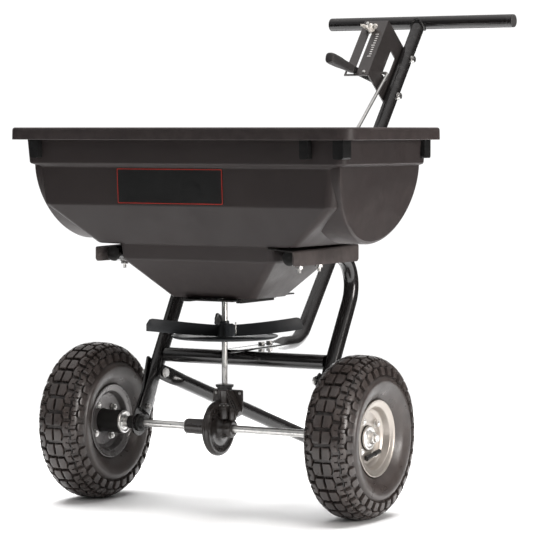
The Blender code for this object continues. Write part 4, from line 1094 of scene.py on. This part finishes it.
def control_rod():
    pin_at = STEM @ Vector((LEVER_X, -ROD_PIN[1], -ROD_PIN[0]))
    eye = at(0, GATE_EYE_Y, GATE_TOP + 0.012)
    x = -0.003
    corners = [pin_at + Vector((-0.0085, 0, 0)), (x, pin_at.y, pin_at.z), (x, eye.y, eye.z),
               (x, eye.y, eye.z - 0.022)]
    line = filleted(corners, [0.006, 0.008], radians(10))
    rings = swept(line, [(ROD_R, ROD_R)] * len(line), Vector((0.31, 0.9, -0.8)), 20)
    piece("rod_wire", loft(rings), "zinc", "control_rod_link", place=Matrix(), sharp=50,
          stands_for="control_rod")


def flow_scale():
    """Eleven tick marks beside the slot, every fifth one longer."""
    face, inner = -0.082, -0.0205
    ticks = []
    for k in range(11):
        z, outer = -0.1 - k * 0.0053, inner - (0.0072 if k % 5 == 0 else 0.005)
        ticks.append(box((outer, face - 0.0002, z - 0.0007), (inner, face + 0.0001, z + 0.0007)))
    piece("flow_scale_marks", merged(*ticks), "scale_white", place=STEM)
    rivet = fastener([(0, 0, 0.0034), (0.0006, 0, 0.0036), (0.0018, 0, 0.0026), (0.0022, 0, 0.0012)], 28)
    rivet.transform(Matrix.Translation((-0.0225, face + 0.0001, -0.1905)) @ Matrix.Rotation(pi / 2, 4, "X"))
    piece("flow_scale_rivet", rivet, "zinc", place=STEM)


# --- CAD nodes that keep their shape ---
# each node's material, with how far its edges are rounded
KEPT = {
    "agitator": ("zinc", 0.0003), "axle_snap_ring": ("zinc", 0.0003), "axle_washer": ("zinc", 0.0002),
    "lever_pivot": ("zinc", 0.0004), "stop_bolt": ("zinc", 0.0003), "shutter_gate": ("trim_plastic", 0.0003),
    # the control bracket takes a paler copy of the frame paint, painting the light on it
    "shaft_bushing": ("trim_plastic", 0.0003), "control_bracket": ("bracket_paint", 0.0004),
    "control_lever": ("frame_paint", 0.0005), "bevel_gear": ("gear_steel", 0),
    "pinion_gear": ("gear_steel", 0),
}
for _, name in SIDES:
    KEPT[f"axle_bearing_{name}"] = KEPT[f"gate_track_{name}"] = ("trim_plastic", 0.0003)
    KEPT[f"axle_bracket_{name}"], KEPT[f"axle_cap_{name}"] = ("frame_paint", 0.0005), ("zinc", 0.0004)


def finish_kept_nodes():
    """Gives each CAD node that stays its material. Modifiers close it and round its edges."""
    for name, (look, width) in KEPT.items():
        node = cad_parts[name]
        node.data.materials.clear()
        node.data.materials.append(LOOKS[look])
        node.data.shade_smooth()
        node.modifiers.new("closing", "WELD").merge_threshold = 0.00001
        if width:
            soften_edges(node, width, 36)
        node.modifiers.new("even_shading", "WEIGHTED_NORMAL").keep_sharp = True


# --- Stage ---
def area_light(name, place, target, size, power, colour=(1, 1, 1)):
    data = bpy.data.lights.new(name, "AREA")
    data.shape = "RECTANGLE"
    data.size, data.size_y = size
    data.energy = power
    data.color = colour
    light = bpy.data.objects.new(name, data)
    light.location = place
    light.rotation_euler = (Vector(target) - Vector(place)).to_track_quat("-Z", "Y").to_euler()
    bpy.context.scene.collection.objects.link(light)


def studio_world():
    """White behind everything. What lights the machine is a bright ceiling over dim walls."""
    world = bpy.data.worlds.new("studio")
    world.use_nodes = True
    tree = world.node_tree
    ceiling = tree.nodes["Background"]
    backdrop = tree.nodes.new("ShaderNodeBackground")
    backdrop.inputs["Strength"].default_value = 1.05
    backdrop.inputs["Color"].default_value = rgb(1.0, 1.0, 1.0)
    ceiling.inputs["Color"].default_value = rgb(1.0, 0.985, 0.98)
    heading = tree.nodes.new("ShaderNodeSeparateXYZ")
    rise = tree.nodes.new("ShaderNodeMapRange")
    rise.interpolation_type = "SMOOTHSTEP"
    heights = {"From Min": 0.2, "From Max": 0.95, "To Min": WALL_LIGHT, "To Max": CEILING_LIGHT}
    for socket, value in heights.items():
        rise.inputs[socket].default_value = value
    links = tree.links
    links.new(tree.nodes.new("ShaderNodeTexCoord").outputs["Generated"], heading.inputs[0])
    links.new(heading.outputs["Z"], rise.inputs["Value"])
    links.new(rise.outputs[0], ceiling.inputs["Strength"])
    chosen = tree.nodes.new("ShaderNodeMixShader")
    links.new(tree.nodes.new("ShaderNodeLightPath").outputs["Is Camera Ray"], chosen.inputs[0])
    links.new(ceiling.outputs[0], chosen.inputs[1])
    links.new(backdrop.outputs[0], chosen.inputs[2])
    links.new(chosen.outputs[0], tree.nodes["World Output"].inputs["Surface"])
    bpy.context.scene.world = world


def stage():
    floor = bpy.data.objects.new("floor", bpy.data.meshes.new("floor"))
    bm = bmesh.new()
    bmesh.ops.create_circle(bm, cap_ends=True, segments=96, radius=FLOOR_R)
    bm.to_mesh(floor.data)
    bm.free()
    floor.data.materials.append(LOOKS["floor_paper"])
    bpy.context.scene.collection.objects.link(floor)
    studio_world()
    sun = bpy.data.lights.new("ceiling_lamp", "SUN")
    sun.energy, sun.angle = 6.2, radians(60)
    lamp = bpy.data.objects.new("ceiling_lamp", sun)
    lamp.rotation_euler = (radians(-10), radians(-6), 0)
    lamp.visible_glossy = False
    bpy.context.scene.collection.objects.link(lamp)
    area_light("left_softbox", at(-2.6, -2.4, 1.5), at(0, 0, 0.45), (0.9, 1.5), 5, (0.93, 0.96, 1.0))
    area_light("right_softbox", at(3.4, -0.5, 0.9), at(0, 0, 0.35), (0.9, 1.6), 78, (1.0, 0.96, 0.93))
    area_light("back_softbox", at(-1.7, 3.0, 0.95), at(0, 0, 0.35), (2.4, 0.7), 14)
    bpy.context.scene.view_settings.view_transform = "Standard"


def camera():
    azimuth, pitch = radians(30.3), radians(3.0)
    focal = 4.8923077            # counted in picture widths
    look_along = Vector((-sin(azimuth) * cos(pitch), cos(azimuth) * cos(pitch), -sin(pitch)))
    data = bpy.data.cameras.new("camera")
    data.sensor_width = 36.0
    data.lens = 36.0 * focal
    data.clip_end = 200.0
    made = bpy.data.objects.new("camera", data)
    made.location = at(2.247, -3.707, 0.631)
    made.rotation_euler = look_along.to_track_quat("-Z", "Y").to_euler()
    bpy.context.scene.collection.objects.link(made)
    bpy.context.scene.camera = made


LOOKS = make_looks()
hopper()
hopper_hoods()
hopper_pockets()
label()
frame_legs()
cross_reach = LEG_X - TUBE_R - GAP
straight_tube("cross_bar", (-cross_reach, *CROSS_TUBE_YZ), (cross_reach, *CROSS_TUBE_YZ), TUBE_R,
              "cross_tube")
straight_tube("handle_tube", *bar_ends(), HANDLE_R, "handle_bar")
rear_stand()
handle_stem()
weld_bead()
end_plugs()
# the rims are one paint: the right outboard half takes its lit tone, the other halves its shaded tone
wheel("left", -1, ("rim_paint", "rim_paint"))
wheel("right", 1, ("rim_paint", "rim_paint_light"))
axle_and_shaft()
gearbox()
impeller()
lever_grip()
wing_nut()
control_rod()
flow_scale()
fasteners()
finish_kept_nodes()
stage()
camera()

bpy.context.view_layer.update()
